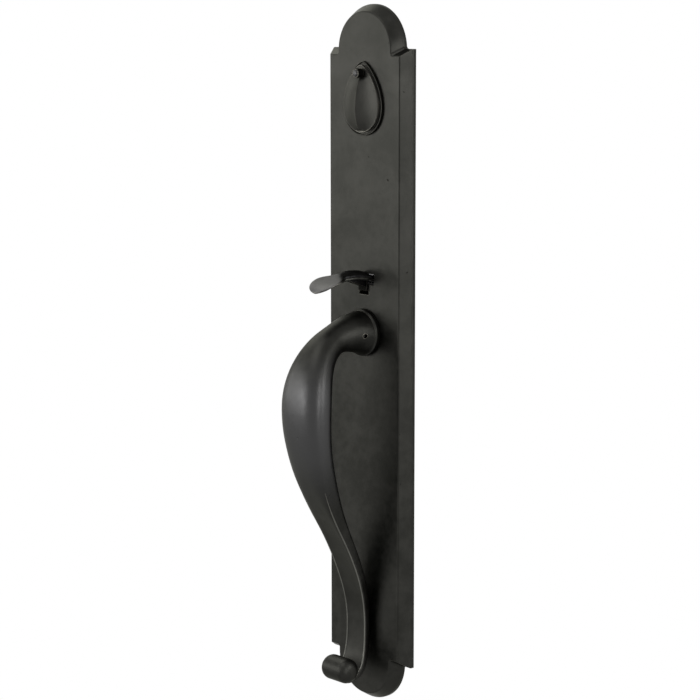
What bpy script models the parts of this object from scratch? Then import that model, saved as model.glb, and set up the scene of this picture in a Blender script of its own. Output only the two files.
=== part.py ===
"""Entry door handleset: cast back plate, swinging keyway cover, thumb lever and grip.

Sizes are in millimetres and become metres when a mesh is made. The front faces -Y, the door lies
beyond the plane Y = 0, and Z is up. The origin is the middle of the plate's back, on its cross rib.
Depths are given as Y, so a smaller value stands further out of the door.
"""

import math

import bmesh
import bpy
from mathutils import Vector

MM = 0.001
FIT_GAP = 0.3
CUT_MARGIN = 1.0
WELD_DEPTH = 0.6
SHARP_ANGLE = 26.0

# Back plate
PLATE_WIDTH = 88.9
SHOULDER_HEIGHT = 242.8
ARCH_RADIUS = 34.7
ARCH_DROP = 1.2
COVE_RADIUS = 2.4
COVE_STEPS = 4
ARCH_STEPS = 22
PLATE_DEPTH = 12.7
PLATE_SIDE = 3.5
EDGE_ROUND = 0.9
BEVEL_WIDTH = 5.5
FACE_WALL = 3.2
RIM_WALL = 4.5
POCKET_DRAFT = 2.8
POCKET_CORNER = 4.0
RIB_WIDTH = 6.0
RIB_HEIGHTS = (-160.0, -60.0, 0.0, 100.0, 150.0)

# Lock cylinder, its rose and the swinging cover
DEADBOLT_Z = 194.0
CENTRE_SPACING = 139.7
CYLINDER_RISE = 5.0
CYLINDER_RADIUS = 15.8
CYLINDER_END = 15.0
FLANGE_RADIUS = 17.5
FLANGE_THICKNESS = 1.0
ROSE_HALF_WIDTH = 21.8
ROSE_FULLNESS = 0.38
ROSE_TOP = 233.0
ROSE_BOTTOM = 176.0
ROSE_THICKNESS = 1.8
ROSE_CHAMFER = 0.6
COVER_MARGIN = 2.1
COVER_TOP_MARGIN = 2.8
COVER_RIM = 0.8
COVER_EDGE = 0.4
COVER_RIDGE = 5.8
RIDGE_START = 0.84
RIDGE_END = 2.83
RIDGE_FULLNESS = 0.75
COVER_BOSS_RADIUS = 3.7
COVER_BOSS_HEIGHT = 5.4
PIVOT_Z = 223.9
PIVOT_RADIUS = 1.5
PIVOT_HEAD_RADIUS = 2.6
PIVOT_HEAD_HEIGHT = 1.5
RUNNING_GAP = 0.15
WASHER_THICKNESS = 0.3
PLUG_RADIUS = 6.5
PLUG_OVERRUN = 2.6
KEYWAY_WIDTH = 1.9
KEYWAY_HEIGHT = 8.4
KEYWAY_DEPTH = 22.0
TAIL_WIDTH = 7.4
TAIL_THICKNESS = 1.6
TAIL_SOCKET = 4.0
TAIL_REACH = 37.0
RING_NUT_RADIUS = 20.4
RING_NUT_THICKNESS = 4.0
RING_NUT_NOTCH = 3.0

# Thumb lever and its mechanism
THUMB_Z = 64.0
THUMB_Y = -5.2
THUMB_TRAVEL = 20.0
THUMB_PIN_RADIUS = 1.8
THUMB_BARREL_RADIUS = 3.2
THUMB_BARREL_HALF = 12.2
STEM_HALF_WIDTH = 9.0
NECK_HALF_WIDTH = 7.2
NECK_THICKNESS = 3.8
NECK_CROWN = 1.2
PAD_HALF_WIDTH = 14.0
PAD_HALF_LENGTH = 12.4
PAD_TAPER = 0.15
PAD_DISH = 1.2
LEVER_REACH = 64.2
LEVER_ARCH = 6.0
ARCH_REACH = 16.0
PAD_RISE = 9.0
PAD_REACH = 46.0
LEVER_DROP = 6.1
STEM_THICKNESS = 3.8
PAD_THICKNESS = 2.4
LUG_HALF_WIDTH = 4.6
LUG_DROP = 8.5
LUG_THICKNESS = 1.3
LUG_FACE = 3.0
WEB_REACH = 33.0
WEB_DROP = 2.2
WEB_END = 36.0
WEB_HALF_WIDTH = 3.2
LUG_STANDOFF = 0.4
SLOT_HALF_WIDTH = 11.5
SLOT_RISE = 5.5
SLOT_FALL = 3.8
NOTCH_HALF_WIDTH = 5.4
NOTCH_FALL = 11.6
TAIL_INNER_X = 8.1
TAIL_BAR_WIDTH = 3.9
TAIL_BAR = 4.0
TAIL_FRONT_Y = -3.0
TAIL_BAR_RISE = 2.5
TAIL_SWEEP = 1.2
FOOT_REAR_Y = 8.5
FOOT_THICKNESS = 3.0
BRACKET_FRONT_Y = -3.0
BRACKET_THICKNESS = 2.0
BRACKET_HALF_WIDTH = 23.0
BRACKET_MARGIN = 4.1
EAR_THICKNESS = 2.0
EAR_REACH = 5.2
SCREW_SPREAD_UP = 21.0
SCREW_SPREAD_DOWN = 19.0
SCREW_RADIUS = 1.9
SCREW_HEAD_RADIUS = 3.4
SCREW_HEAD_HEIGHT = 2.5
BOSS_RADIUS = 4.3
KEEPER_FRONT_Y = 13.3
KEEPER_THICKNESS = 1.6
KEEPER_HALF_WIDTH = 11.0
SPACER_RADIUS = 3.4
CAM_JOURNAL_RADIUS = 3.0
CAM_HUB_RADIUS = 7.6
CAM_REAR_RADIUS = 7.0
CAM_REAR_Y = 20.0
CAM_ARM_REACH = 12.6
CAM_ARM_HALF = 2.0
CAM_ARM_FRONT_Y = 4.8
CAM_ARM_REAR_Y = 9.3
SPINDLE_SIZE = 7.9
SPINDLE_REACH = 37.0
SPINDLE_FRONT_Y = 2.0
SPINDLE_PIN_RADIUS = 1.2
SPINDLE_PIN_Y = 17.6
SPRING_RADIUS = 1.75
SPRING_WIRE = 0.35
SPRING_TURNS = 6
SPRING_LENGTH = 14.0
SPRING_LUG_THICKNESS = 1.6

# Grip
GRIP_Z = 22.5
BELL_RADIUS = 18.6
BELL_EDGE_RADIUS = 17.4
BELL_SIDE = 3.0
BELL_DEPTH = 4.2
NECK_RADIUS = 11.6
NECK_LIFT = 5.5
PALM_Y = -73.0
PALM_Z = -35.0
PALM_HALF_WIDTH = 22.2
PALM_HALF_DEPTH = 14.0
STRAP_Y = -18.6
STRAP_Z = -211.0
STRAP_HALF_WIDTH = 12.6
STRAP_HALF_DEPTH = 4.2
STRAP_HOLLOW = 0.9
ANKLE_HALF_WIDTH = 11.1
ANKLE_HALF_DEPTH = 2.7
SCROLL_Y = -38.9
SCROLL_Z = -245.6
SCROLL_RADIUS = 9.9
SCROLL_HALF_WIDTH = 14.8
SCROLL_ROUND = 7.0
GRIP_SIDES = 30
STUD_RADIUS = 4.0
STUD_DEPTH = 21.0
STUD_TAIL = 7.2
NUT_HALF_WIDTH = 6.5
NUT_THICKNESS = 4.0
STUD_WASHER_RADIUS = 8.0
STUD_WASHER_THICKNESS = 1.0
SET_SCREW_RADIUS = 1.6
SET_SCREW_Y = -25.5
SET_SCREW_LENGTH = 9.4
FOOT_BOSS_RADIUS = 5.2
FOOT_SCREW_RADIUS = 2.0
FOOT_SCREW_HEAD = 4.2
FOOT_SCREW_HEAD_HEIGHT = 2.6
FOOT_WASHER_RADIUS = 5.6
FOOT_WASHER_THICKNESS = 0.9

# Mounting posts
POST_HEIGHTS = (125.0, -110.0)
POST_RADIUS = 5.0
POST_STUB_RADIUS = 3.0
POST_REACH = 30.0
POST_BORE_RADIUS = 2.4
POST_BORE_DEPTH = 20.0
POST_BOSS_RADIUS = 7.0
POST_BOSS_Y = -2.0

# Planes and heights that several pieces share
FACE_Y = -PLATE_DEPTH
WALL_Y = FACE_Y + FACE_WALL
ROSE_BACK_Y = FACE_Y - FIT_GAP
ROSE_FACE_Y = ROSE_BACK_Y - ROSE_THICKNESS
COVER_BACK_Y = ROSE_FACE_Y - WASHER_THICKNESS - 2 * FIT_GAP
COVER_RIM_Y = COVER_BACK_Y - COVER_RIM
CYLINDER_Z = DEADBOLT_Z + CYLINDER_RISE
LATCH_Z = DEADBOLT_Z - CENTRE_SPACING
SCREW_HEIGHTS = (LATCH_Z + SCREW_SPREAD_UP, LATCH_Z - SCREW_SPREAD_DOWN)
PAIR_NAMES = ("upper", "lower")
BRACKET_REAR_Y = BRACKET_FRONT_Y + BRACKET_THICKNESS
KEEPER_REAR_Y = KEEPER_FRONT_Y + KEEPER_THICKNESS
ARM_UNDERSIDE = LATCH_Z - CAM_ARM_HALF
FOOT_TOP = ARM_UNDERSIDE - FIT_GAP
TAIL_OUTER_X = TAIL_INNER_X + TAIL_BAR_WIDTH
EAR_INNER_X = THUMB_BARREL_HALF + 2 * FIT_GAP
BELL_BACK_Y = FACE_Y - FIT_GAP

CAST_BRONZE = {"colour": (0.050, 0.048, 0.043), "roughness": 0.46, "metallic": 0.55}
DARK_SCREW = {"colour": (0.035, 0.034, 0.032), "roughness": 0.40, "metallic": 0.80}
BRASS = {"colour": (0.60, 0.42, 0.16), "roughness": 0.30, "metallic": 1.0}
STEEL = {"colour": (0.50, 0.51, 0.52), "roughness": 0.35, "metallic": 1.0}


def clear_scene():
    for item in list(bpy.data.objects):
        bpy.data.objects.remove(item, do_unlink=True)


def make_material(name, finish):
    material = bpy.data.materials.new(name)
    material.use_nodes = True
    shader = material.node_tree.nodes["Principled BSDF"]
    shader.inputs["Base Color"].default_value = (*finish["colour"], 1.0)
    shader.inputs["Roughness"].default_value = finish["roughness"]
    shader.inputs["Metallic"].default_value = finish["metallic"]
    return material


def add_mesh(name, shape, pivot=(0.0, 0.0, 0.0)):
    """Make an object from points in millimetres, with its origin at the pivot."""
    points, faces = shape
    centre = Vector(pivot)
    mesh = bpy.data.meshes.new(name)
    mesh.from_pydata([(Vector(point) - centre) * MM for point in points], [], faces)
    skin = bmesh.new()
    skin.from_mesh(mesh)
    bmesh.ops.recalc_face_normals(skin, faces=skin.faces)
    skin.to_mesh(mesh)
    skin.free()
    item = bpy.data.objects.new(name, mesh)
    item.location = centre * MM
    bpy.context.collection.objects.link(item)
    return item


def add_piece(name, shape, finish, pivot=(0.0, 0.0, 0.0)):
    """Make one finished piece of the handleset."""
    item = add_mesh(name, shape, pivot)
    item.data.materials.append(make_material(name + "_finish", finish))
    item.data.shade_smooth()
    item.data.set_sharp_from_angle(angle=math.radians(SHARP_ANGLE))
    return item


def combine(target, tools, operation):
    """Boolean a list of shapes with a piece. The shapes stay in the file as hidden guides."""
    for number, shape in enumerate(tools):
        guide = add_mesh("_".join((target.name, operation.lower(), str(number))), shape)
        guide.hide_render = True
        guide.display_type = "WIRE"
        step = target.modifiers.new(guide.name, "BOOLEAN")
        step.operation = operation
        step.solver = "EXACT"
        step.object = guide


def cut(target, *tools):
    combine(target, tools, "DIFFERENCE")


def fuse(target, *tools):
    combine(target, tools, "UNION")


def loft(rings, ring_shaped=False):
    """Skin a row of rings with equal point counts. A ring-shaped skin closes on itself."""
    count = len(rings[0])
    points = [point for ring in rings for point in ring]
    pairs = [(index, index + 1) for index in range(len(rings) - 1)]
    if ring_shaped:
        pairs.append((len(rings) - 1, 0))
    faces = []
    for low, high in pairs:
        for side in range(count):
            after = (side + 1) % count
            faces.append((low * count + side, low * count + after, high * count + after, high * count + side))
    if not ring_shaped:
        faces.append(tuple(range(count)))
        faces.append(tuple(range((len(rings) - 1) * count, len(rings) * count)))
    return points, faces


def turned(profile, centre, axis="Y", sides=32, ring_shaped=False, phase=0.0):
    """Turn a profile of (radius, distance along the axis) about an axis through the centre."""
    rings = []
    for radius, along in profile:
        ring = []
        for side in range(sides):
            angle = phase + 2.0 * math.pi * side / sides
            across = radius * math.cos(angle)
            up = radius * math.sin(angle)
            spread = {"X": (along, across, up), "Y": (across, along, up), "Z": (across, up, along)}[axis]
            ring.append(tuple(base + move for base, move in zip(centre, spread)))
        rings.append(ring)
    return loft(rings, ring_shaped)


def rod(radius, start, end, centre, axis="Y", sides=32):
    return turned([(radius, start), (radius, end)], centre, axis, sides)


def tube(inner, outer, start, end, centre, axis="Y", sides=32):
    profile = [(inner, start), (outer, start), (outer, end), (inner, end)]
    return turned(profile, centre, axis, sides, ring_shaped=True)


def block(x_range, y_range, z_range):
    """A plain box between pairs of limits."""
    rings = []
    for depth in y_range:
        low, high = z_range
        left, right = x_range
        rings.append([(left, depth, low), (right, depth, low), (right, depth, high), (left, depth, high)])
    return loft(rings)


def prism(outline, x_range):
    """Extrude an outline of (y, z) points along X."""
    return loft([[(x, y, z) for y, z in outline] for x in x_range])


def rounded_rectangle(x_range, z_range, radius, depth, steps=5):
    """A rectangle with round corners, in the plane Y = depth."""
    left, right = x_range
    low, high = z_range
    corners = [(right - radius, high - radius), (left + radius, high - radius),
               (left + radius, low + radius), (right - radius, low + radius)]
    points = []
    for quarter, (x, z) in enumerate(corners):
        for step in range(steps + 1):
            angle = math.pi / 2.0 * (quarter + step / steps)
            points.append((x + radius * math.cos(angle), depth, z + radius * math.sin(angle)))
    return points


def bezier(start, leave, arrive, end, t):
    """A point on a cubic curve in the YZ plane, with its direction there."""
    s = 1.0 - t
    weights = (s ** 3, 3 * s * s * t, 3 * s * t * t, t ** 3)
    slopes = (-3 * s * s, 3 * s * s - 6 * s * t, 6 * s * t - 3 * t * t, 3 * t * t)
    controls = (start, leave, arrive, end)
    place = [sum(w * point[axis] for w, point in zip(weights, controls)) for axis in (0, 1)]
    heading = [sum(w * point[axis] for w, point in zip(slopes, controls)) for axis in (0, 1)]
    length = math.hypot(*heading)
    return place, (heading[0] / length, heading[1] / length)


def blend(low, high, t):
    """Ease from 0 to 1 while t goes from low to high."""
    share = min(max((t - low) / (high - low), 0.0), 1.0)
    return share * share * (3.0 - 2.0 * share)


def mix(first, second, share):
    return first + (second - first) * share


def section(place, heading, half_width, half_depth, squareness, sides, dish=0.0):
    """A rounded section across a path: a superellipse, with its outer side dished if asked."""
    ring = []
    for side in range(sides):
        angle = 2.0 * math.pi * side / sides
        across = math.copysign(abs(math.cos(angle)) ** (2.0 / squareness), math.cos(angle))
        out = math.copysign(abs(math.sin(angle)) ** (2.0 / squareness), math.sin(angle))
        height = half_depth * out + dish * (across * across - 0.5)
        ring.append((half_width * across, place[0] - height * heading[1], place[1] + height * heading[0]))
    return ring


def plate_outline(inset, depth):
    """The plate's outline set in by a distance: straight sides, shoulders, coves and arched ends."""
    half_width = PLATE_WIDTH / 2.0 - inset
    radius = ARCH_RADIUS - inset
    rise = ARCH_DROP - inset
    ledge = half_width - math.sqrt(radius * radius - rise * rise)
    cove = min(COVE_RADIUS, ledge / 2.0)
    cove_z = rise + cove
    cove_x = math.sqrt((radius + cove) ** 2 - cove_z ** 2)
    lift = math.atan2(cove_z, cove_x)
    shoulder = [(half_width, rise)]
    for step in range(COVE_STEPS):
        angle = 1.5 * math.pi - (math.pi / 2.0 - lift) * step / COVE_STEPS
        shoulder.append((cove_x + cove * math.cos(angle), cove_z + cove * math.sin(angle)))
    arch = []
    for step in range(ARCH_STEPS + 1):
        angle = lift + (math.pi - 2.0 * lift) * step / ARCH_STEPS
        arch.append((radius * math.cos(angle), radius * math.sin(angle)))
    half = shoulder + arch + [(-x, z) for x, z in reversed(shoulder)]
    centre = SHOULDER_HEIGHT - ARCH_DROP
    return [(end * x, depth, end * (centre + z)) for end in (1.0, -1.0) for x, z in half]


def end_pocket(start_z, end):
    """The hollow behind one arched end, between the last rib and the rim."""
    rings = []
    for inset, depth in ((RIM_WALL, CUT_MARGIN), (RIM_WALL, 0.0), (RIM_WALL + POCKET_DRAFT, WALL_Y)):
        outline = plate_outline(inset, depth)
        half = len(outline) // 2
        arch = outline[:half] if end > 0 else outline[half:]
        first, last = arch[0], arch[-1]
        rings.append([(first[0], depth, start_z)] + arch + [(last[0], depth, start_z)])
    return loft(rings)


def middle_pocket(low, high):
    """The hollow between two ribs."""
    half_width = PLATE_WIDTH / 2.0 - RIM_WALL
    floor_half = half_width - POCKET_DRAFT
    rings = [rounded_rectangle((-half_width, half_width), (low, high), POCKET_CORNER, depth)
             for depth in (CUT_MARGIN, 0.0)]
    rings.append(rounded_rectangle((-floor_half, floor_half), (low, high), POCKET_CORNER, WALL_Y))
    return loft(rings)


def boss(radius, tip_y, height):
    """A round boss that rises from the inside of the plate's front wall."""
    return rod(radius, WALL_Y - WELD_DEPTH, tip_y, (0.0, 0.0, height), sides=24)


def slot_shape(half_width, low, high, corner, start, end):
    rings = [rounded_rectangle((-half_width, half_width), (low, high), corner, depth, steps=3)
             for depth in (start, end)]
    return loft(rings)


def build_back_plate():
    slope = (PLATE_DEPTH - PLATE_SIDE) / BEVEL_WIDTH
    shell = loft([plate_outline(0.0, 0.0), plate_outline(0.0, EDGE_ROUND - PLATE_SIDE),
                  plate_outline(EDGE_ROUND / 2.0, -PLATE_SIDE - slope * EDGE_ROUND / 2.0),
                  plate_outline(BEVEL_WIDTH - EDGE_ROUND / 2.0, FACE_Y + slope * EDGE_ROUND / 2.0),
                  plate_outline(BEVEL_WIDTH + EDGE_ROUND, FACE_Y)])
    plate = add_piece("back_plate", shell, CAST_BRONZE)
    half_rib = RIB_WIDTH / 2.0
    pockets = [end_pocket(RIB_HEIGHTS[-1] + half_rib, 1.0), end_pocket(RIB_HEIGHTS[0] - half_rib, -1.0)]
    for low, high in zip(RIB_HEIGHTS, RIB_HEIGHTS[1:]):
        pockets.append(middle_pocket(low + half_rib, high - half_rib))
    cut(plate, *pockets)
    bosses = [boss(BOSS_RADIUS, BRACKET_FRONT_Y - FIT_GAP, height) for height in SCREW_HEIGHTS]
    bosses += [boss(POST_BOSS_RADIUS, POST_BOSS_Y, height) for height in POST_HEIGHTS]
    fuse(plate, *bosses)
    through = (FACE_Y - CUT_MARGIN, WALL_Y + CUT_MARGIN)
    screw_bore = (WALL_Y + FIT_GAP, BRACKET_FRONT_Y + CUT_MARGIN)
    post_bore = (WALL_Y, POST_BOSS_Y + CUT_MARGIN)
    slot_low = THUMB_Z - SLOT_FALL
    bores = [rod(CYLINDER_RADIUS + FIT_GAP, *through, (0.0, 0.0, CYLINDER_Z), sides=40),
             rod(PIVOT_RADIUS + FIT_GAP, *through, (0.0, 0.0, PIVOT_Z), sides=16),
             rod(STUD_RADIUS + FIT_GAP, *through, (0.0, 0.0, GRIP_Z), sides=24),
             rod(FOOT_SCREW_RADIUS + FIT_GAP, *through, (0.0, 0.0, STRAP_Z), sides=16),
             slot_shape(SLOT_HALF_WIDTH, slot_low, THUMB_Z + SLOT_RISE, 1.5, *through),
             slot_shape(NOTCH_HALF_WIDTH, THUMB_Z - NOTCH_FALL, slot_low + CUT_MARGIN, 0.8, *through)]
    bores += [rod(SCREW_RADIUS + FIT_GAP, *screw_bore, (0.0, 0.0, height), sides=16)
              for height in SCREW_HEIGHTS]
    bores += [rod(POST_STUB_RADIUS + FIT_GAP, *post_bore, (0.0, 0.0, height), sides=24)
              for height in POST_HEIGHTS]
    cut(plate, *bores)


def lobe(t):
    return math.sin(t) * mix(math.sin(t / 2.0), 1.0, ROSE_FULLNESS)


def teardrop_half_width(full_half_width, t):
    """Half the teardrop's width at t, which runs from 0 at the apex to pi at the bottom."""
    return full_half_width * lobe(t) / max(lobe(math.pi * step / 90.0) for step in range(91))


def teardrop_outline(inset, depth, steps=52):
    """The rose's outline, set in by a distance."""
    centre = (ROSE_TOP + ROSE_BOTTOM) / 2.0
    half_height = (ROSE_TOP - ROSE_BOTTOM) / 2.0 - inset
    points = []
    for step in range(steps):
        t = 2.0 * math.pi * (step + 0.5) / steps
        x = math.copysign(teardrop_half_width(ROSE_HALF_WIDTH - inset, min(t, 2.0 * math.pi - t)), math.pi - t)
        points.append((x, depth, centre + half_height * math.cos(t)))
    return points


def build_drop_rose():
    body = loft([teardrop_outline(0.0, ROSE_BACK_Y), teardrop_outline(0.0, ROSE_FACE_Y + ROSE_CHAMFER),
                 teardrop_outline(ROSE_CHAMFER, ROSE_FACE_Y)])
    rose = add_piece("drop_rose", body, CAST_BRONZE)
    seat = (ROSE_FACE_Y - CUT_MARGIN, ROSE_FACE_Y + FLANGE_THICKNESS + FIT_GAP)
    through = (ROSE_FACE_Y - CUT_MARGIN, ROSE_BACK_Y + CUT_MARGIN)
    centre = (0.0, 0.0, CYLINDER_Z)
    cut(rose, rod(FLANGE_RADIUS + FIT_GAP, *seat, centre, sides=40),
        rod(CYLINDER_RADIUS + FIT_GAP, *through, centre, sides=40),
        rod(PIVOT_RADIUS + FIT_GAP, *through, (0.0, 0.0, PIVOT_Z), sides=16))


def cover_section(t, columns=7):
    """One level cut through the cover: flat back, rim, and a ridge with hollow flanks."""
    centre = (ROSE_TOP + ROSE_BOTTOM) / 2.0
    half_height = (ROSE_TOP - ROSE_BOTTOM) / 2.0 - COVER_TOP_MARGIN
    half_width = teardrop_half_width(ROSE_HALF_WIDTH - COVER_MARGIN, t)
    z = centre + half_height * math.cos(t)
    swell = 0.0
    if RIDGE_START < t < RIDGE_END:
        swell = math.sin(math.pi * (t - RIDGE_START) / (RIDGE_END - RIDGE_START)) ** RIDGE_FULLNESS
    ring = [(half_width, COVER_BACK_Y, z), (half_width, COVER_RIM_Y + COVER_EDGE, z)]
    for column in range(-columns, columns + 1):
        across = -column / (columns + 0.35)
        height = COVER_RIDGE * swell * (1.0 - abs(across)) ** 1.7
        ring.append((half_width * across, COVER_RIM_Y - height, z))
    ring += [(-half_width, COVER_RIM_Y + COVER_EDGE, z), (-half_width, COVER_BACK_Y, z)]
    return ring


def build_keyway_cover():
    first, last, rows = 0.14, math.pi - 0.05, 26
    rings = [cover_section(first + (last - first) * row / rows) for row in range(rows + 1)]
    pivot = (0.0, COVER_BACK_Y, PIVOT_Z)
    cover = add_piece("keyway_cover", loft(rings), CAST_BRONZE, pivot)
    boss_face = COVER_RIM_Y - COVER_BOSS_HEIGHT
    knuckle = [(COVER_BOSS_RADIUS, COVER_RIM_Y + WELD_DEPTH), (COVER_BOSS_RADIUS, boss_face + COVER_EDGE),
               (COVER_BOSS_RADIUS - COVER_EDGE, boss_face)]
    centre = (0.0, 0.0, PIVOT_Z)
    fuse(cover, turned(knuckle, centre, sides=24))
    recess = boss_face + PIVOT_HEAD_HEIGHT - FIT_GAP
    cut(cover, rod(PIVOT_RADIUS + RUNNING_GAP, boss_face - CUT_MARGIN, COVER_BACK_Y + CUT_MARGIN, centre, sides=24),
        rod(PIVOT_HEAD_RADIUS + FIT_GAP, boss_face - CUT_MARGIN, recess, centre, sides=24))


def build_cover_hardware():
    centre = (0.0, 0.0, PIVOT_Z)
    boss_face = COVER_RIM_Y - COVER_BOSS_HEIGHT
    under_head = boss_face + PIVOT_HEAD_HEIGHT - 2 * FIT_GAP
    dome = under_head - PIVOT_HEAD_HEIGHT
    rivet_start = WALL_Y + FIT_GAP
    profile = [(PIVOT_HEAD_RADIUS * 0.45, dome), (PIVOT_HEAD_RADIUS * 0.85, dome + 0.3),
               (PIVOT_HEAD_RADIUS, dome + 0.8), (PIVOT_HEAD_RADIUS, under_head), (PIVOT_RADIUS, under_head),
               (PIVOT_RADIUS, rivet_start), (PIVOT_HEAD_RADIUS, rivet_start), (PIVOT_HEAD_RADIUS, rivet_start + 0.9)]
    add_piece("cover_pivot_pin", turned(profile, centre, sides=24), DARK_SCREW)
    start = COVER_BACK_Y + FIT_GAP
    ring = tube(PIVOT_RADIUS + RUNNING_GAP, COVER_BOSS_RADIUS, start, start + WASHER_THICKNESS, centre, sides=24)
    add_piece("cover_washer", ring, BRASS)


def build_cylinder():
    flange_back = ROSE_FACE_Y + FLANGE_THICKNESS
    profile = [(FLANGE_RADIUS - 0.3, ROSE_FACE_Y), (FLANGE_RADIUS, ROSE_FACE_Y + 0.3), (FLANGE_RADIUS, flange_back),
               (CYLINDER_RADIUS, flange_back), (CYLINDER_RADIUS, CYLINDER_END)]
    body = add_piece("cylinder_body", turned(profile, (0.0, 0.0, CYLINDER_Z), sides=40), BRASS)
    axis = (0.0, 0.0, DEADBOLT_Z)
    cut(body, rod(PLUG_RADIUS + RUNNING_GAP, ROSE_FACE_Y - CUT_MARGIN, CYLINDER_END + CUT_MARGIN, axis, sides=28))

    plug_end = CYLINDER_END + PLUG_OVERRUN
    plug = add_piece("cylinder_plug", rod(PLUG_RADIUS, ROSE_FACE_Y, plug_end, axis, sides=28), BRASS, axis)
    keyway = block((-KEYWAY_WIDTH / 2.0, KEYWAY_WIDTH / 2.0),
                   (ROSE_FACE_Y - CUT_MARGIN, ROSE_FACE_Y + KEYWAY_DEPTH),
                   (DEADBOLT_Z - KEYWAY_HEIGHT / 2.0, DEADBOLT_Z + KEYWAY_HEIGHT / 2.0))
    half_width = TAIL_WIDTH / 2.0
    half_thickness = TAIL_THICKNESS / 2.0
    socket_start = plug_end - TAIL_SOCKET
    socket = block((-half_width - FIT_GAP, half_width + FIT_GAP), (socket_start, plug_end + CUT_MARGIN),
                   (DEADBOLT_Z - half_thickness - FIT_GAP, DEADBOLT_Z + half_thickness + FIT_GAP))
    cut(plug, keyway, socket)

    blade = block((-half_width, half_width), (socket_start + FIT_GAP, TAIL_REACH),
                  (DEADBOLT_Z - half_thickness, DEADBOLT_Z + half_thickness))
    add_piece("cylinder_tailpiece", blade, STEEL, axis)

    clip_start = CYLINDER_END + FIT_GAP
    clip = tube(PLUG_RADIUS + FIT_GAP, PLUG_RADIUS + 2.2, clip_start, plug_end - 0.4, axis, sides=28)
    add_piece("plug_retainer", clip, STEEL, axis)


def build_ring_nut():
    start = WALL_Y + FIT_GAP
    centre = (0.0, 0.0, CYLINDER_Z)
    ring = tube(CYLINDER_RADIUS + FIT_GAP, RING_NUT_RADIUS, start, start + RING_NUT_THICKNESS, centre, sides=36)
    nut = add_piece("cylinder_ring_nut", ring, BRASS)
    half = RING_NUT_NOTCH / 2.0
    depth = (start + RING_NUT_THICKNESS / 2.0, start + RING_NUT_THICKNESS + CUT_MARGIN)
    reach = RING_NUT_RADIUS + CUT_MARGIN
    cut(nut, block((-reach, reach), depth, (CYLINDER_Z - half, CYLINDER_Z + half)),
        block((-half, half), depth, (CYLINDER_Z - reach, CYLINDER_Z + reach)))


def lever_section(t):
    """One section of the thumb lever: stem, crowned and arched neck, then the dished oval pad."""
    start = (THUMB_Y, THUMB_Z)
    tip = (-LEVER_REACH, THUMB_Z - LEVER_DROP)
    place, heading = bezier(start, (-ARCH_REACH, THUMB_Z + LEVER_ARCH), (-PAD_REACH, THUMB_Z + PAD_RISE), tip, t)
    stem = mix(STEM_HALF_WIDTH, NECK_HALF_WIDTH, blend(0.12, 0.40, t)) * (1.0 - blend(0.62, 0.9, t))
    offset = (place[0] + LEVER_REACH - PAD_HALF_LENGTH) / PAD_HALF_LENGTH
    taper = 0.5 + PAD_TAPER * max(offset, 0.0)
    pad = PAD_HALF_WIDTH * max(1.0 - offset * offset, 0.0) ** taper
    half_width = (stem ** 3 + pad ** 3) ** (1.0 / 3.0)
    neck = mix(STEM_THICKNESS, NECK_THICKNESS, blend(0.15, 0.35, t))
    depth = mix(neck, PAD_THICKNESS, blend(0.5, 0.82, t))
    depth *= 1.0 - 0.45 * blend(0.93, 1.0, t)
    crown = NECK_CROWN * blend(0.1, 0.32, t)
    dish = mix(-crown, PAD_DISH * pad / PAD_HALF_WIDTH, blend(0.5, 0.75, t))
    flipped = (-heading[0], -heading[1])
    return section(place, flipped, half_width, depth / 2.0, 2.5, 20, dish)


def build_thumbpiece():
    stations = 30
    ends = 0.992
    rings = [lever_section(ends * (1.0 - (1.0 - step / stations) ** 1.25)) for step in range(stations + 1)]
    pivot = (0.0, THUMB_Y, THUMB_Z)
    lever = add_piece("thumbpiece", loft(rings), CAST_BRONZE, pivot)
    barrel = rod(THUMB_BARREL_RADIUS, -THUMB_BARREL_HALF, THUMB_BARREL_HALF, pivot, "X", 28)
    lug_back = FACE_Y - LUG_STANDOFF
    lug_front = lug_back - LUG_THICKNESS
    lug_low = THUMB_Z - LUG_DROP
    lug_top = THUMB_Z + 2.0
    lug = prism([(lug_back, lug_top), (lug_back, lug_low), (lug_front + 0.4, lug_low), (lug_front, lug_low + 0.4),
                 (lug_front, lug_top)], (-LUG_HALF_WIDTH, LUG_HALF_WIDTH))
    neck_core = THUMB_Z + 0.6 * LEVER_ARCH
    web_root = lug_back - LUG_THICKNESS / 2.0
    web = prism([(web_root, lug_top + 0.6), (web_root, lug_low + LUG_FACE), (-WEB_REACH, THUMB_Z - WEB_DROP),
                 (-WEB_END, neck_core + 0.6), (lug_front - 6.0, neck_core)], (-WEB_HALF_WIDTH, WEB_HALF_WIDTH))
    tail_rear = TAIL_FRONT_Y + TAIL_BAR
    foot_low = FOOT_TOP - FOOT_THICKNESS
    bar_top = THUMB_Z + TAIL_BAR_RISE
    bar_low = THUMB_Z - 1.5
    hook = prism([(THUMB_Y, bar_top), (tail_rear, bar_top), (tail_rear, FOOT_TOP), (FOOT_REAR_Y, FOOT_TOP),
                  (FOOT_REAR_Y, foot_low), (TAIL_FRONT_Y, foot_low), (TAIL_FRONT_Y, bar_low), (THUMB_Y, bar_low)],
                 (TAIL_INNER_X, TAIL_OUTER_X))
    fuse(lever, barrel, lug, web, hook)
    reach = THUMB_BARREL_HALF + CUT_MARGIN
    cut(lever, rod(THUMB_PIN_RADIUS + RUNNING_GAP, -reach, reach, pivot, "X", 20))


def build_thumb_pin():
    end = EAR_INNER_X + EAR_THICKNESS + 0.7
    tip = THUMB_PIN_RADIUS - 0.5
    profile = [(tip, -end), (THUMB_PIN_RADIUS, 0.5 - end), (THUMB_PIN_RADIUS, end - 0.5), (tip, end)]
    pin = turned(profile, (0.0, THUMB_Y, THUMB_Z), "X", 20)
    add_piece("thumb_pivot_pin", pin, STEEL)


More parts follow.
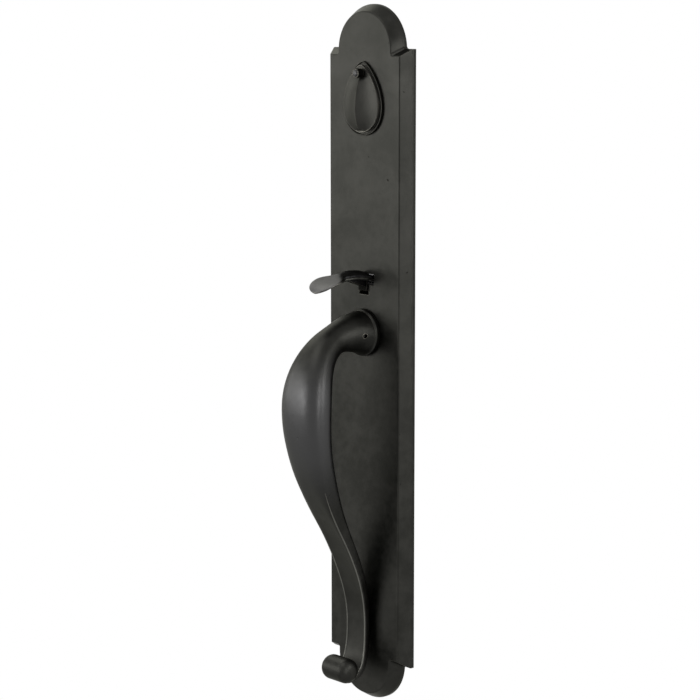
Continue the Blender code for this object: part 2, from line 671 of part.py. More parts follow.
def build_thumb_bracket():
    low = SCREW_HEIGHTS[1] - BRACKET_MARGIN
    high = SCREW_HEIGHTS[0] + BRACKET_MARGIN
    width = (-BRACKET_HALF_WIDTH, BRACKET_HALF_WIDTH)
    sheet = loft([rounded_rectangle(width, (low, high), 3.0, depth, steps=4)
                  for depth in (BRACKET_FRONT_Y, BRACKET_REAR_Y)])
    bracket = add_piece("thumb_bracket", sheet, STEEL)
    ears = []
    for side in (-1.0, 1.0):
        limits = sorted((side * EAR_INNER_X, side * (EAR_INNER_X + EAR_THICKNESS)))
        ears.append(block(limits, (BRACKET_FRONT_Y - EAR_REACH, BRACKET_REAR_Y - WELD_DEPTH),
                          (THUMB_Z - THUMB_BARREL_RADIUS, THUMB_Z + THUMB_BARREL_RADIUS)))
    fuse(bracket, *ears)
    sheet_range = (BRACKET_FRONT_Y - CUT_MARGIN, BRACKET_REAR_Y + CUT_MARGIN)
    ear_reach = BRACKET_HALF_WIDTH + CUT_MARGIN
    window_half = THUMB_BARREL_HALF + FIT_GAP
    barrel_half = math.sqrt(THUMB_BARREL_RADIUS ** 2 - (BRACKET_FRONT_Y - THUMB_Y) ** 2) + 2 * FIT_GAP
    window = block((-window_half, window_half), sheet_range, (THUMB_Z - barrel_half, THUMB_Z + barrel_half))
    tail_window = block((TAIL_INNER_X - 2 * FIT_GAP, window_half), sheet_range,
                        (FOOT_TOP - FOOT_THICKNESS - TAIL_SWEEP, THUMB_Z + TAIL_BAR_RISE + 2.2 * TAIL_SWEEP))
    holes = [rod(SCREW_RADIUS + FIT_GAP, *sheet_range, (0.0, 0.0, height), sides=16) for height in SCREW_HEIGHTS]
    cut(bracket, window, tail_window,
        rod(THUMB_PIN_RADIUS + FIT_GAP, -ear_reach, ear_reach, (0.0, THUMB_Y, THUMB_Z), "X", 20),
        rod(CAM_JOURNAL_RADIUS + RUNNING_GAP, *sheet_range, (0.0, 0.0, LATCH_Z), sides=24), *holes)


def build_bracket_fasteners():
    spacer_range = (BRACKET_REAR_Y + FIT_GAP, KEEPER_FRONT_Y - FIT_GAP)
    head_start = KEEPER_REAR_Y + FIT_GAP
    head_end = head_start + SCREW_HEAD_HEIGHT
    tip = WALL_Y + 3 * FIT_GAP
    profile = [(SCREW_RADIUS - 0.5, tip), (SCREW_RADIUS, tip + 0.5), (SCREW_RADIUS, head_start),
               (SCREW_HEAD_RADIUS, head_start), (SCREW_HEAD_RADIUS, head_end - 0.6), (SCREW_HEAD_RADIUS - 0.8, head_end)]
    for name, height in zip(PAIR_NAMES, SCREW_HEIGHTS):
        centre = (0.0, 0.0, height)
        spacer = tube(SCREW_RADIUS + FIT_GAP, SPACER_RADIUS, *spacer_range, centre, sides=20)
        add_piece(name + "_bracket_spacer", spacer, STEEL)
        add_piece(name + "_bracket_screw", turned(profile, centre, sides=20), STEEL)


def build_cam_keeper():
    low = SCREW_HEIGHTS[1] - BRACKET_MARGIN
    high = SCREW_HEIGHTS[0] + BRACKET_MARGIN
    width = (-KEEPER_HALF_WIDTH, KEEPER_HALF_WIDTH)
    sheet = loft([rounded_rectangle(width, (low, high), 3.0, depth, steps=4)
                  for depth in (KEEPER_FRONT_Y, KEEPER_REAR_Y)])
    keeper = add_piece("cam_keeper", sheet, STEEL)
    seat = LATCH_Z + CAM_ARM_HALF + 2 * FIT_GAP + SPRING_LENGTH
    lug = block((CAM_HUB_RADIUS, KEEPER_HALF_WIDTH + 2.0), (CAM_ARM_FRONT_Y, KEEPER_REAR_Y),
                (seat, seat + SPRING_LUG_THICKNESS))
    fuse(keeper, lug)
    sheet_range = (KEEPER_FRONT_Y - CUT_MARGIN, KEEPER_REAR_Y + CUT_MARGIN)
    holes = [rod(SCREW_RADIUS + FIT_GAP, *sheet_range, (0.0, 0.0, height), sides=16) for height in SCREW_HEIGHTS]
    cut(keeper, rod(CAM_REAR_RADIUS + RUNNING_GAP, *sheet_range, (0.0, 0.0, LATCH_Z), sides=28), *holes)


def build_lift_cam():
    axis = (0.0, 0.0, LATCH_Z)
    hub_start = BRACKET_REAR_Y + FIT_GAP
    hub_end = KEEPER_FRONT_Y - FIT_GAP
    profile = [(CAM_JOURNAL_RADIUS, BRACKET_FRONT_Y - FIT_GAP), (CAM_JOURNAL_RADIUS, hub_start),
               (CAM_HUB_RADIUS, hub_start), (CAM_HUB_RADIUS, hub_end), (CAM_REAR_RADIUS, hub_end),
               (CAM_REAR_RADIUS, CAM_REAR_Y)]
    cam = add_piece("lift_cam", turned(profile, axis, sides=28), BRASS, axis)
    arm = block((0.0, CAM_ARM_REACH), (CAM_ARM_FRONT_Y, CAM_ARM_REAR_Y), (ARM_UNDERSIDE, LATCH_Z + CAM_ARM_HALF))
    fuse(cam, arm)
    half = SPINDLE_SIZE / 2.0 + RUNNING_GAP
    socket = block((-half, half), (SPINDLE_FRONT_Y - FIT_GAP, CAM_REAR_Y + CUT_MARGIN), (LATCH_Z - half, LATCH_Z + half))
    reach = CAM_REAR_RADIUS + CUT_MARGIN
    cross = rod(SPINDLE_PIN_RADIUS + FIT_GAP, -reach, reach, (0.0, SPINDLE_PIN_Y, LATCH_Z), "X", 16)
    cut(cam, socket, cross)


def build_spindle():
    axis = (0.0, 0.0, LATCH_Z)
    half = SPINDLE_SIZE / 2.0
    bar = block((-half, half), (SPINDLE_FRONT_Y, SPINDLE_REACH), (LATCH_Z - half, LATCH_Z + half))
    spindle = add_piece("latch_spindle", bar, STEEL, axis)
    reach = half + CUT_MARGIN
    place = (0.0, SPINDLE_PIN_Y, LATCH_Z)
    cut(spindle, rod(SPINDLE_PIN_RADIUS + FIT_GAP, -reach, reach, place, "X", 16))
    pin = rod(SPINDLE_PIN_RADIUS, -CAM_REAR_RADIUS, CAM_REAR_RADIUS, place, "X", 16)
    add_piece("spindle_pin", pin, STEEL, axis)


def build_return_spring():
    """A coil between the cam's arm and the keeper's lug, its wire a pentagon in section."""
    x = (TAIL_INNER_X + TAIL_OUTER_X) / 2.0
    y = (CAM_ARM_FRONT_Y + CAM_ARM_REAR_Y) / 2.0
    base = LATCH_Z + CAM_ARM_HALF + FIT_GAP + SPRING_WIRE
    rise = SPRING_LENGTH - 2.0 * SPRING_WIRE
    steps_per_turn = 10
    steps = SPRING_TURNS * steps_per_turn
    rings = []
    for step in range(steps + 1):
        angle = 2.0 * math.pi * step / steps_per_turn
        share = blend(0.0, 1.0, step / steps)
        height = base + rise * mix(step / steps, share, 0.55)
        ring = []
        for side in range(5):
            turn = 2.0 * math.pi * side / 5.0
            radius = SPRING_RADIUS + SPRING_WIRE * math.cos(turn)
            ring.append((x + radius * math.cos(angle), y + radius * math.sin(angle), height + SPRING_WIRE * math.sin(turn)))
        rings.append(ring)
    add_piece("thumb_return_spring", loft(rings), STEEL)


def neck_section(t):
    """One section of the grip from the bell to the broad palm."""
    start = (BELL_BACK_Y, GRIP_Z)
    palm = (PALM_Y, PALM_Z)
    place, heading = bezier(start, (-56.0, GRIP_Z + NECK_LIFT), (PALM_Y, PALM_Z + 37.0), palm, t)
    flare = (BELL_EDGE_RADIUS - NECK_RADIUS) * (1.0 - blend(-0.12, 0.34, t)) * 1.25
    radius = NECK_RADIUS + flare
    swell = blend(0.22, 0.95, t)
    half_width = mix(radius, PALM_HALF_WIDTH, swell)
    half_depth = mix(radius, PALM_HALF_DEPTH, swell)
    return section(place, heading, half_width, half_depth, mix(2.0, 2.5, swell), GRIP_SIDES)


def strap_section(t):
    """One section of the grip from the palm down to the lower fixing."""
    place, heading = bezier((PALM_Y, PALM_Z), (PALM_Y, PALM_Z - 73.0), (STRAP_Y, STRAP_Z + 65.0), (STRAP_Y, STRAP_Z), t)
    waist = mix(PALM_HALF_WIDTH, STRAP_HALF_WIDTH, blend(-0.02, 0.55, t))
    half_width = waist + (ANKLE_HALF_WIDTH - STRAP_HALF_WIDTH) * blend(0.7, 1.0, t)
    thinned = mix(PALM_HALF_DEPTH, STRAP_HALF_DEPTH, blend(-0.03, 0.66, t))
    half_depth = thinned + (ANKLE_HALF_DEPTH - STRAP_HALF_DEPTH) * blend(0.6, 1.0, t)
    hollow = -STRAP_HOLLOW * blend(0.1, 0.5, t)
    return section(place, heading, half_width, half_depth, mix(2.5, 3.6, blend(0.0, 0.6, t)), GRIP_SIDES, hollow)


def curl_section(t):
    """One section of the strap as it turns forward under the scroll."""
    under = SCROLL_Z - SCROLL_RADIUS + ANKLE_HALF_DEPTH
    place, heading = bezier((STRAP_Y, STRAP_Z), (STRAP_Y + 0.4, STRAP_Z - 31.0), (SCROLL_Y + 15.0, under), (SCROLL_Y, under), t)
    half_width = mix(ANKLE_HALF_WIDTH, SCROLL_HALF_WIDTH - 2.4, blend(0.0, 0.8, t))
    return section(place, heading, half_width, ANKLE_HALF_DEPTH, 3.6, GRIP_SIDES, -STRAP_HOLLOW)


def build_grip():
    bell_edge_y = BELL_BACK_Y - BELL_DEPTH
    flat = (-1.0, 0.0)
    rings = [section((BELL_BACK_Y, GRIP_Z), flat, BELL_RADIUS, BELL_RADIUS, 2.0, GRIP_SIDES),
             section((BELL_BACK_Y - BELL_SIDE, GRIP_Z), flat, BELL_RADIUS, BELL_RADIUS, 2.0, GRIP_SIDES),
             section((bell_edge_y, GRIP_Z), flat, BELL_EDGE_RADIUS, BELL_EDGE_RADIUS, 2.0, GRIP_SIDES)]
    rings += [neck_section(0.085 + 0.915 * step / 19) for step in range(19)]
    rings += [strap_section(step / 20) for step in range(20)]
    rings += [curl_section(step / 9) for step in range(10)]
    grip = add_piece("grip_handle", loft(rings), CAST_BRONZE)

    half = SCROLL_HALF_WIDTH
    quarter = [(SCROLL_RADIUS - SCROLL_ROUND * (1.0 - math.sin(a)), half - SCROLL_ROUND * (1.0 - math.cos(a)))
               for a in (math.pi / 2.0 * step / 4.0 for step in range(5))]
    end_dome = [(SCROLL_RADIUS * 0.12, half + 0.3), *quarter]
    profile = end_dome + [(radius, -along) for radius, along in reversed(end_dome)]
    scroll = turned(profile, (0.0, SCROLL_Y, SCROLL_Z), "X", 28)
    strap_back = STRAP_Y + ANKLE_HALF_DEPTH
    foot = rod(FOOT_BOSS_RADIUS, strap_back - WELD_DEPTH, BELL_BACK_Y, (0.0, 0.0, STRAP_Z), sides=24)
    fuse(grip, scroll, foot)
    stud_bore = (BELL_BACK_Y + CUT_MARGIN, BELL_BACK_Y - STUD_DEPTH - FIT_GAP)
    screw_bore = (BELL_BACK_Y + CUT_MARGIN, STRAP_Y - ANKLE_HALF_DEPTH + 2.4)
    cut(grip, rod(STUD_RADIUS + FIT_GAP, *stud_bore, (0.0, 0.0, GRIP_Z), sides=24),
        rod(FOOT_SCREW_RADIUS + FIT_GAP, *screw_bore, (0.0, 0.0, STRAP_Z), sides=16),
        rod(SET_SCREW_RADIUS + FIT_GAP, 0.0, BELL_RADIUS, (0.0, SET_SCREW_Y, GRIP_Z), "X", 16))


def build_grip_hardware():
    stud_tip = BELL_BACK_Y - STUD_DEPTH
    washer_start = WALL_Y + FIT_GAP
    washer_end = washer_start + STUD_WASHER_THICKNESS
    nut_start = washer_end + FIT_GAP
    centre = (0.0, 0.0, GRIP_Z)
    stud = [(STUD_RADIUS - 0.6, stud_tip), (STUD_RADIUS, stud_tip + 0.6), (STUD_RADIUS, WALL_Y + STUD_TAIL - 0.6),
            (STUD_RADIUS - 0.6, WALL_Y + STUD_TAIL)]
    add_piece("grip_stud", turned(stud, centre, sides=24), STEEL)
    washer = tube(STUD_RADIUS + FIT_GAP, STUD_WASHER_RADIUS, washer_start, washer_end, centre, sides=24)
    add_piece("grip_stud_washer", washer, STEEL)
    corner = NUT_HALF_WIDTH / math.cos(math.pi / 6.0)
    nut = add_piece("grip_stud_nut", rod(corner, nut_start, nut_start + NUT_THICKNESS, centre, sides=6), STEEL)
    cut(nut, rod(STUD_RADIUS + FIT_GAP, nut_start - CUT_MARGIN, nut_start + NUT_THICKNESS + CUT_MARGIN, centre, sides=24))

    start = STUD_RADIUS + FIT_GAP
    screw = rod(SET_SCREW_RADIUS, start, start + SET_SCREW_LENGTH, (0.0, SET_SCREW_Y, GRIP_Z), "X", 16)
    add_piece("grip_set_screw", screw, DARK_SCREW)


def build_foot_hardware():
    centre = (0.0, 0.0, STRAP_Z)
    washer_start = WALL_Y + FIT_GAP
    head_start = washer_start + FOOT_WASHER_THICKNESS + FIT_GAP
    head_end = head_start + FOOT_SCREW_HEAD_HEIGHT
    tip = STRAP_Y - ANKLE_HALF_DEPTH + 2.4 + FIT_GAP
    profile = [(FOOT_SCREW_RADIUS - 0.5, tip), (FOOT_SCREW_RADIUS, tip + 0.5), (FOOT_SCREW_RADIUS, head_start),
               (FOOT_SCREW_HEAD, head_start), (FOOT_SCREW_HEAD, head_end - 0.7), (FOOT_SCREW_HEAD - 0.9, head_end)]
    add_piece("foot_screw", turned(profile, centre, sides=24), STEEL)
    washer = tube(FOOT_SCREW_RADIUS + FIT_GAP, FOOT_WASHER_RADIUS, washer_start, washer_start + FOOT_WASHER_THICKNESS,
                  centre, sides=24)
    add_piece("foot_washer", washer, STEEL)


def build_mounting_posts():
    shoulder = POST_BOSS_Y + FIT_GAP
    profile = [(POST_STUB_RADIUS, WALL_Y + FIT_GAP), (POST_STUB_RADIUS, shoulder), (POST_RADIUS, shoulder),
               (POST_RADIUS, POST_REACH)]
    bore_floor = POST_REACH - POST_BORE_DEPTH
    hollow = [(POST_BORE_RADIUS, POST_REACH), (POST_BORE_RADIUS, bore_floor), (POST_BORE_RADIUS * 0.2, bore_floor - 1.4)]
    for name, height in zip(PAIR_NAMES, POST_HEIGHTS):
        add_piece(name + "_mounting_post", turned(profile + hollow, (0.0, 0.0, height), sides=18), STEEL)


def main():
    clear_scene()
    build_back_plate()
    build_drop_rose()
    build_keyway_cover()
    build_cover_hardware()
    build_cylinder()
    build_ring_nut()
    build_thumbpiece()
    build_thumb_pin()
    build_thumb_bracket()
    build_bracket_fasteners()
    build_cam_keeper()
    build_lift_cam()
    build_spindle()
    build_return_spring()
    build_grip()
    build_grip_hardware()
    build_foot_hardware()
    build_mounting_posts()


main()
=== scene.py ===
"""Looks for the entry door handleset: smooth castings, fastener detail, materials, light and camera.

Mesh lengths are in millimetres and become metres when a mesh is made. The pieces that stand for a
CAD node use that node's own sizes, so they sit where the node is.
"""

import math

import bmesh
import bpy
from mathutils import Matrix, Vector


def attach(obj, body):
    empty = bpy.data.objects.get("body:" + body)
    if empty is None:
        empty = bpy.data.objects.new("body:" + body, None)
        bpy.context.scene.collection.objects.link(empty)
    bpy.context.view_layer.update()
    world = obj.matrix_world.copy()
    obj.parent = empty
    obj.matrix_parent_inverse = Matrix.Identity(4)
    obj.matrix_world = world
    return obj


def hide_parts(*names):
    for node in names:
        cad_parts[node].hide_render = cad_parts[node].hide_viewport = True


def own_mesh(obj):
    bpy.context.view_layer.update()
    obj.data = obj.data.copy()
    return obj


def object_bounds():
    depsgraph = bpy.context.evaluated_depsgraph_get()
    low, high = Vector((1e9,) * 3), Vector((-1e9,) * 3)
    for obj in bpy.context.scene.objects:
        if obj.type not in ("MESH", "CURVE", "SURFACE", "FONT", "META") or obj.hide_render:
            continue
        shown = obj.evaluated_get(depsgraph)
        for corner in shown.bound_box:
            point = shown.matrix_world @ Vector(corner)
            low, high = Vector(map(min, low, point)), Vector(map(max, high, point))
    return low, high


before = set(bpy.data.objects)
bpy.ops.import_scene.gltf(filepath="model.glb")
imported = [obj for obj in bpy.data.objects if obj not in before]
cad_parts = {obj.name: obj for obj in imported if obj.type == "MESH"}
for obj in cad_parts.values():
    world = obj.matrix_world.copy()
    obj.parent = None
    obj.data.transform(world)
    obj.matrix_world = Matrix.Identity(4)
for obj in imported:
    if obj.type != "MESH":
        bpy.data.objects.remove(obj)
cad_box = [list(corner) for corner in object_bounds()]
MM = 0.001
FLOOR_GAP = 60.0
FLOOR_REACH = 7000.0

# Sizes shared with the CAD, or worked out from its sizes
FIT_GAP = 0.3
RUNNING_GAP = 0.15
CUT_MARGIN = 1.0
WELD_DEPTH = 0.6
PLATE_WIDTH = 88.9
SHOULDER_HEIGHT = 242.8
ARCH_RADIUS = 34.7
ARCH_DROP = 1.2
COVE_RADIUS = 2.4
PLATE_DEPTH = 12.7
PLATE_SIDE = 3.5
BEVEL_WIDTH = 5.5
FACE_WALL = 3.2
RIM_WALL = 4.5
POCKET_DRAFT = 2.8
POCKET_CORNER = 4.0
RIB_WIDTH = 6.0
RIB_HEIGHTS = (-160.0, -60.0, 0.0, 100.0, 150.0)
FACE_Y = -PLATE_DEPTH
WALL_Y = FACE_Y + FACE_WALL
LATCH_Z = 54.3
CYLINDER_Z = 199.0
CYLINDER_RADIUS = 15.8
FLANGE_RADIUS = 17.5
ROSE_HALF_WIDTH = 21.8
ROSE_FULLNESS = 0.38
ROSE_TOP = 233.0
ROSE_BOTTOM = 176.0
ROSE_THICKNESS = 1.8
ROSE_BACK_Y = FACE_Y - FIT_GAP
ROSE_FACE_Y = ROSE_BACK_Y - ROSE_THICKNESS
COVER_CLEARANCE = 0.9
COVER_MARGIN = 2.1
COVER_TOP_MARGIN = 2.8
COVER_RIM = 0.8
COVER_BACK_Y = ROSE_FACE_Y - COVER_CLEARANCE
COVER_RIM_Y = COVER_BACK_Y - COVER_RIM
COVER_RIDGE = 5.8
RIDGE_START = 0.84
RIDGE_END = 2.83
RIDGE_FULLNESS = 0.75
COVER_BOSS_RADIUS = 3.7
COVER_BOSS_HEIGHT = 5.4
BOSS_FACE_Y = COVER_RIM_Y - COVER_BOSS_HEIGHT
PIVOT_Z = 223.9
PIVOT_RADIUS = 1.5
PIVOT_HEAD_RADIUS = 2.6
PIVOT_HEAD_HEIGHT = 1.5
THUMB_Y = -5.2
THUMB_Z = 64.0
LEVER_REACH = 64.2
LEVER_ARCH = 6.0
ARCH_REACH = 16.0
PAD_RISE = 9.0
PAD_REACH = 46.0
LEVER_DROP = 6.1
STEM_HALF_WIDTH = 9.0
NECK_HALF_WIDTH = 7.2
STEM_THICKNESS = 3.8
NECK_CROWN = 1.2
PAD_HALF_WIDTH = 14.0
PAD_HALF_LENGTH = 12.4
PAD_THICKNESS = 2.4
PAD_TAPER = 0.15
PAD_DISH = 1.2
THUMB_BARREL_RADIUS = 3.2
THUMB_BARREL_HALF = 12.2
THUMB_BORE_RADIUS = 1.95
LUG_HALF_WIDTH = 4.6
LUG_DROP = 8.5
LUG_THICKNESS = 1.3
LUG_STANDOFF = 0.4
WEB_REACH = 33.0
WEB_END = 36.0
WEB_HALF_WIDTH = 3.2
SLOT_HALF_WIDTH = 11.5
SLOT_RISE = 5.5
SLOT_FALL = 3.8
NOTCH_HALF_WIDTH = 5.4
NOTCH_FALL = 11.6
TAIL_INNER_X = 8.1
TAIL_OUTER_X = 12.0
TAIL_FRONT_Y = -3.0
TAIL_REAR_Y = 1.0
TAIL_BAR_RISE = 2.5
FOOT_REAR_Y = 8.5
FOOT_THICKNESS = 3.0
SCREW_HEIGHTS = (LATCH_Z + 21.0, LATCH_Z - 19.0)
SCREW_RADIUS = 1.9
SCREW_HEAD_RADIUS = 3.4
SCREW_HEAD_HEIGHT = 2.5
BOSS_RADIUS = 4.3
BOSS_REAR_Y = -3.3
SPACER_RADIUS = 3.4
KEEPER_REAR_Y = 14.9
CAM_ARM_HALF = 2.0
SPRING_X = 10.05
SPRING_Y = 7.05
SPRING_RADIUS = 1.75
SPRING_WIRE = 0.35
SPRING_TURNS = 6
SPRING_LENGTH = 14.0
GRIP_Z = 22.5
BELL_BACK_Y = FACE_Y - FIT_GAP
BELL_RADIUS = 18.6
BELL_EDGE_RADIUS = 17.4
BELL_SIDE = 3.0
BELL_DEPTH = 4.2
NECK_RADIUS = 11.6
NECK_LIFT = 5.5
NECK_REACH_Y = -56.0
PALM_Y = -73.0
PALM_Z = -35.0
PALM_RISE = 37.0
PALM_FALL = 73.0
PALM_HALF_WIDTH = 22.2
STRAP_Y = -18.6
STRAP_Z = -211.0
STRAP_RISE = 65.0
STRAP_FALL = 31.0
STRAP_HALF_WIDTH = 12.6
STRAP_HALF_DEPTH = 4.2
ANKLE_HALF_WIDTH = 11.1
ANKLE_HALF_DEPTH = 2.7
SCROLL_Y = -38.9
SCROLL_Z = -245.6
SCROLL_RADIUS = 9.9
SCROLL_HALF_WIDTH = 14.8
SCROLL_ROUND = 7.0
SET_SCREW_Y = -25.5
STUD_RADIUS = 4.0
STUD_DEPTH = 21.0
STUD_TAIL = 7.2
STUD_HOLE_RADIUS = 4.3
STUD_WASHER_RADIUS = 8.0
STUD_WASHER_THICKNESS = 1.0
NUT_HALF_WIDTH = 6.5
NUT_THICKNESS = 4.0
FOOT_BOSS_RADIUS = 5.2
FOOT_SCREW_RADIUS = 2.0
FOOT_SCREW_HEAD = 4.2
FOOT_SCREW_HEAD_HEIGHT = 2.6
FOOT_HOLE_RADIUS = 2.3
FOOT_WASHER_RADIUS = 5.6
FOOT_WASHER_THICKNESS = 0.9
POST_HEIGHTS = (125.0, -110.0)
POST_RADIUS = 5.0
POST_STUB_RADIUS = 3.0
POST_REACH = 30.0
POST_BORE_RADIUS = 2.4
POST_BOSS_RADIUS = 7.0
POST_BOSS_Y = -2.0

# Sizes of the smooth forms that only this script makes
PALM_HALF_DEPTH = 13.88
STRAP_HOLLOW = 1.0
STRAP_SQUARENESS = 6.5
STRAP_BEAD_RADIUS = 0.62
STRAP_BEAD_PLACE = 0.91
NECK_RIDGE = 1.1
NECK_LIP_RADIUS = 1.35
ROSE_GROOVE = 1.1
GRIP_SIDES = 108

# The photo's camera and the lamps: places in metres, angles in degrees, powers in watts
PHOTO_WIDTH = 700.0
FOCAL_PIXELS = 2178.0
SENSOR_WIDTH = 36.0
PHOTO_ANGLES = (47.485, 9.35, -0.05)
CAMERA_TARGET = (-0.03004, 0.0, 0.00323)
CAMERA_DISTANCE = 1.739
LAMPS = (
    ("key_left", (-2.30, -2.70, 0.10), (1.7, 2.6), 50.0),
    ("key_front", (-1.30, -3.30, 0.15), (0.9, 1.3), 27.0),
    ("left_side", (-3.30, -1.40, 0.60), (0.9, 1.6), 20.0),
    ("left_back_high", (-2.30, 0.20, 2.00), (1.8, 1.4), 24.0),
    ("right_side", (2.90, -0.75, 0.00), (0.9, 2.2), 36.0),
    ("right_back", (2.60, 1.00, 0.40), (0.9, 2.0), 28.0),
    ("top_soft", (-0.20, -1.20, 2.40), (1.6, 1.4), 20.0),
)

# Base colours
PATINA_DARK = (0.0190, 0.0190, 0.0170)
PATINA_LIGHT = (0.0275, 0.0272, 0.0245)
# Paler, faintly lavender patina of the grip's palm: partly hand-rubbed wear, partly a painted highlight.
PATINA_HANDLED_AND_SHEEN = (0.0500, 0.0498, 0.0500)
PATINA_WORN = (0.170, 0.160, 0.138)
PIT_COLOUR = (0.006, 0.006, 0.005)
PATINA_GLOSS_TINT = (0.68, 0.68, 0.65, 1.0)
WHITE = (1.0, 1.0, 1.0, 1.0)
FLOOR_PALE = (0.80, 0.80, 0.80, 1.0)
FLOOR_UNSEEN = (0.06, 0.06, 0.06, 1.0)


def set_inputs(node, **values):
    for name, value in values.items():
        node.inputs[name.replace("_", " ")].default_value = value


def coloured_node(tree, kind, colour):
    node = tree.nodes.new(kind)
    set_inputs(node, Color=colour)
    return node


def mixed_shader(tree, factor, first, second):
    node = tree.nodes.new("ShaderNodeMixShader")
    for slot, value in enumerate((factor, first, second)):
        tree.links.new(value, node.inputs[slot])
    return node.outputs["Shader"]


def new_material(name):
    material = bpy.data.materials.new(name)
    material.use_nodes = True
    tree = material.node_tree
    return material, tree, tree.nodes["Principled BSDF"]


def noise(tree, coords, scale, detail=4.0, roughness=0.55, distortion=0.0):
    node = tree.nodes.new("ShaderNodeTexNoise")
    set_inputs(node, Scale=scale, Detail=detail, Roughness=roughness, Distortion=distortion)
    tree.links.new(coords, node.inputs["Vector"])
    return node.outputs["Fac"]


def remap(tree, value, low, high, out_low=0.0, out_high=1.0, interpolation="SMOOTHSTEP"):
    node = tree.nodes.new("ShaderNodeMapRange")
    node.interpolation_type = interpolation
    set_inputs(node, From_Min=low, From_Max=high, To_Min=out_low, To_Max=out_high)
    tree.links.new(value, node.inputs["Value"])
    return node.outputs["Result"]


def math_node(tree, operation, first, second):
    node = tree.nodes.new("ShaderNodeMath")
    node.operation = operation
    for slot, value in enumerate((first, second)):
        if isinstance(value, (int, float)):
            node.inputs[slot].default_value = value
        else:
            tree.links.new(value, node.inputs[slot])
    return node.outputs["Value"]


def mix_colour(tree, factor, first, second):
    """A colour mix. The node's colour sockets are inputs 6 and 7 and output 2."""
    node = tree.nodes.new("ShaderNodeMix")
    node.data_type = "RGBA"
    tree.links.new(factor, node.inputs["Factor"])
    for socket, value in ((node.inputs[6], first), (node.inputs[7], second)):
        if isinstance(value, tuple):
            socket.default_value = (*value, 1.0)
        else:
            tree.links.new(value, socket)
    return node.outputs[2]


def object_coords(tree, stretch=None):
    coords = tree.nodes.new("ShaderNodeTexCoord").outputs["Object"]
    if stretch is None:
        return coords
    mapping = tree.nodes.new("ShaderNodeMapping")
    mapping.inputs["Scale"].default_value = stretch
    tree.links.new(coords, mapping.inputs["Vector"])
    return mapping.outputs["Vector"]


def chain_bumps(tree, shader, layers):
    """Stack height layers of (height, strength, depth in metres) onto the shader's normal."""
    last = None
    for height, strength, depth in layers:
        bump = tree.nodes.new("ShaderNodeBump")
        set_inputs(bump, Strength=strength, Distance=depth)
        tree.links.new(height, bump.inputs["Height"])
        if last is not None:
            tree.links.new(last, bump.inputs["Normal"])
        last = bump.outputs["Normal"]
    tree.links.new(last, shader.inputs["Normal"])


def worn_edges(tree, radius):
    """How far the surface turns within a small distance: high on edges and rims."""
    bevel = tree.nodes.new("ShaderNodeBevel")
    bevel.samples = 6
    bevel.inputs["Radius"].default_value = radius
    geometry = tree.nodes.new("ShaderNodeNewGeometry")
    dot = tree.nodes.new("ShaderNodeVectorMath")
    dot.operation = "DOT_PRODUCT"
    tree.links.new(bevel.outputs["Normal"], dot.inputs[0])
    tree.links.new(geometry.outputs["Normal"], dot.inputs[1])
    return remap(tree, dot.outputs["Value"], 0.995, 0.84)


def cast_bronze(name, rubbed=0.0, level=1.0, tint=(1.0, 1.0, 1.0), handled_and_sheen=None, wear_share=0.45):
    """Sand-cast bronze under a near-black patina: cloudy, faintly olive, worn at its edges.

    rubbed lowers the roughness, level and tint scale the patina's colour (a raised or lowered level paints a
    lit or shaded copy of the patina), and wear_share is the least wear along an edge. The four handling
    heights in metres bound a paler band, partly patina that hands have rubbed and partly a painted highlight;
    it starts between the first two and ends between the last two.
    """
    material, tree, shader = new_material(name)
    coords = object_coords(tree)
    clouds = noise(tree, coords, 26.0, 5.0, 0.6, 0.4)
    mottle = noise(tree, coords, 150.0, 4.0, 0.6)
    grain = noise(tree, coords, 1500.0, 3.0, 0.6)
    sand = noise(tree, coords, 560.0, 4.0, 0.65)
    dark = tuple(c * level * t for c, t in zip(PATINA_DARK, tint))
    light = tuple(c * level * t for c, t in zip(PATINA_LIGHT, tint))
    tone = math_node(tree, "ADD", math_node(tree, "MULTIPLY", clouds, 0.65),
                     math_node(tree, "MULTIPLY", mottle, 0.35))
    colour = mix_colour(tree, remap(tree, tone, 0.36, 0.64), dark, light)
    rough = remap(tree, mottle, 0.30, 0.72, 0.35 - rubbed, 0.43 - rubbed)
    # A paler band between the handling heights: partly hand-rubbed patina, partly a painted highlight where
    # the palm faces the light.
    if handled_and_sheen:
        split = tree.nodes.new("ShaderNodeSeparateXYZ")
        tree.links.new(coords, split.inputs["Vector"])
        height = math_node(tree, "ADD", split.outputs["Z"], math_node(tree, "MULTIPLY", clouds, 0.02))
        below = remap(tree, height, handled_and_sheen[0], handled_and_sheen[1])
        above = remap(tree, height, handled_and_sheen[3], handled_and_sheen[2])
        held_and_sheen = math_node(tree, "MULTIPLY", below, above)
        colour = mix_colour(tree, held_and_sheen, colour, PATINA_HANDLED_AND_SHEEN)
        rough = math_node(tree, "SUBTRACT", rough, math_node(tree, "MULTIPLY", held_and_sheen, 0.05))
    edge = worn_edges(tree, 0.0008)
    patchy = remap(tree, noise(tree, coords, 70.0, 5.0, 0.65), 0.36, 0.66)
    share = math_node(tree, "ADD", math_node(tree, "MULTIPLY", patchy, 0.5), wear_share)
    wear = math_node(tree, "MULTIPLY", edge, share)
    colour = mix_colour(tree, wear, colour, PATINA_WORN)
    pits = remap(tree, noise(tree, coords, 240.0, 2.0, 0.5), 0.735, 0.79)
    colour = mix_colour(tree, pits, colour, PIT_COLOUR)
    tree.links.new(colour, shader.inputs["Base Color"])
    shader.inputs["Metallic"].default_value = 1.0
    shader.inputs["Specular Tint"].default_value = PATINA_GLOSS_TINT
    tree.links.new(rough, shader.inputs["Roughness"])
    hollow = math_node(tree, "SUBTRACT", 1.0, pits)
    layers = [(clouds, 0.16, 0.0009), (sand, 0.20, 0.00020), (grain, 0.14, 0.00007), (hollow, 0.5, 0.00030)]
    chain_bumps(tree, shader, layers)
    return material


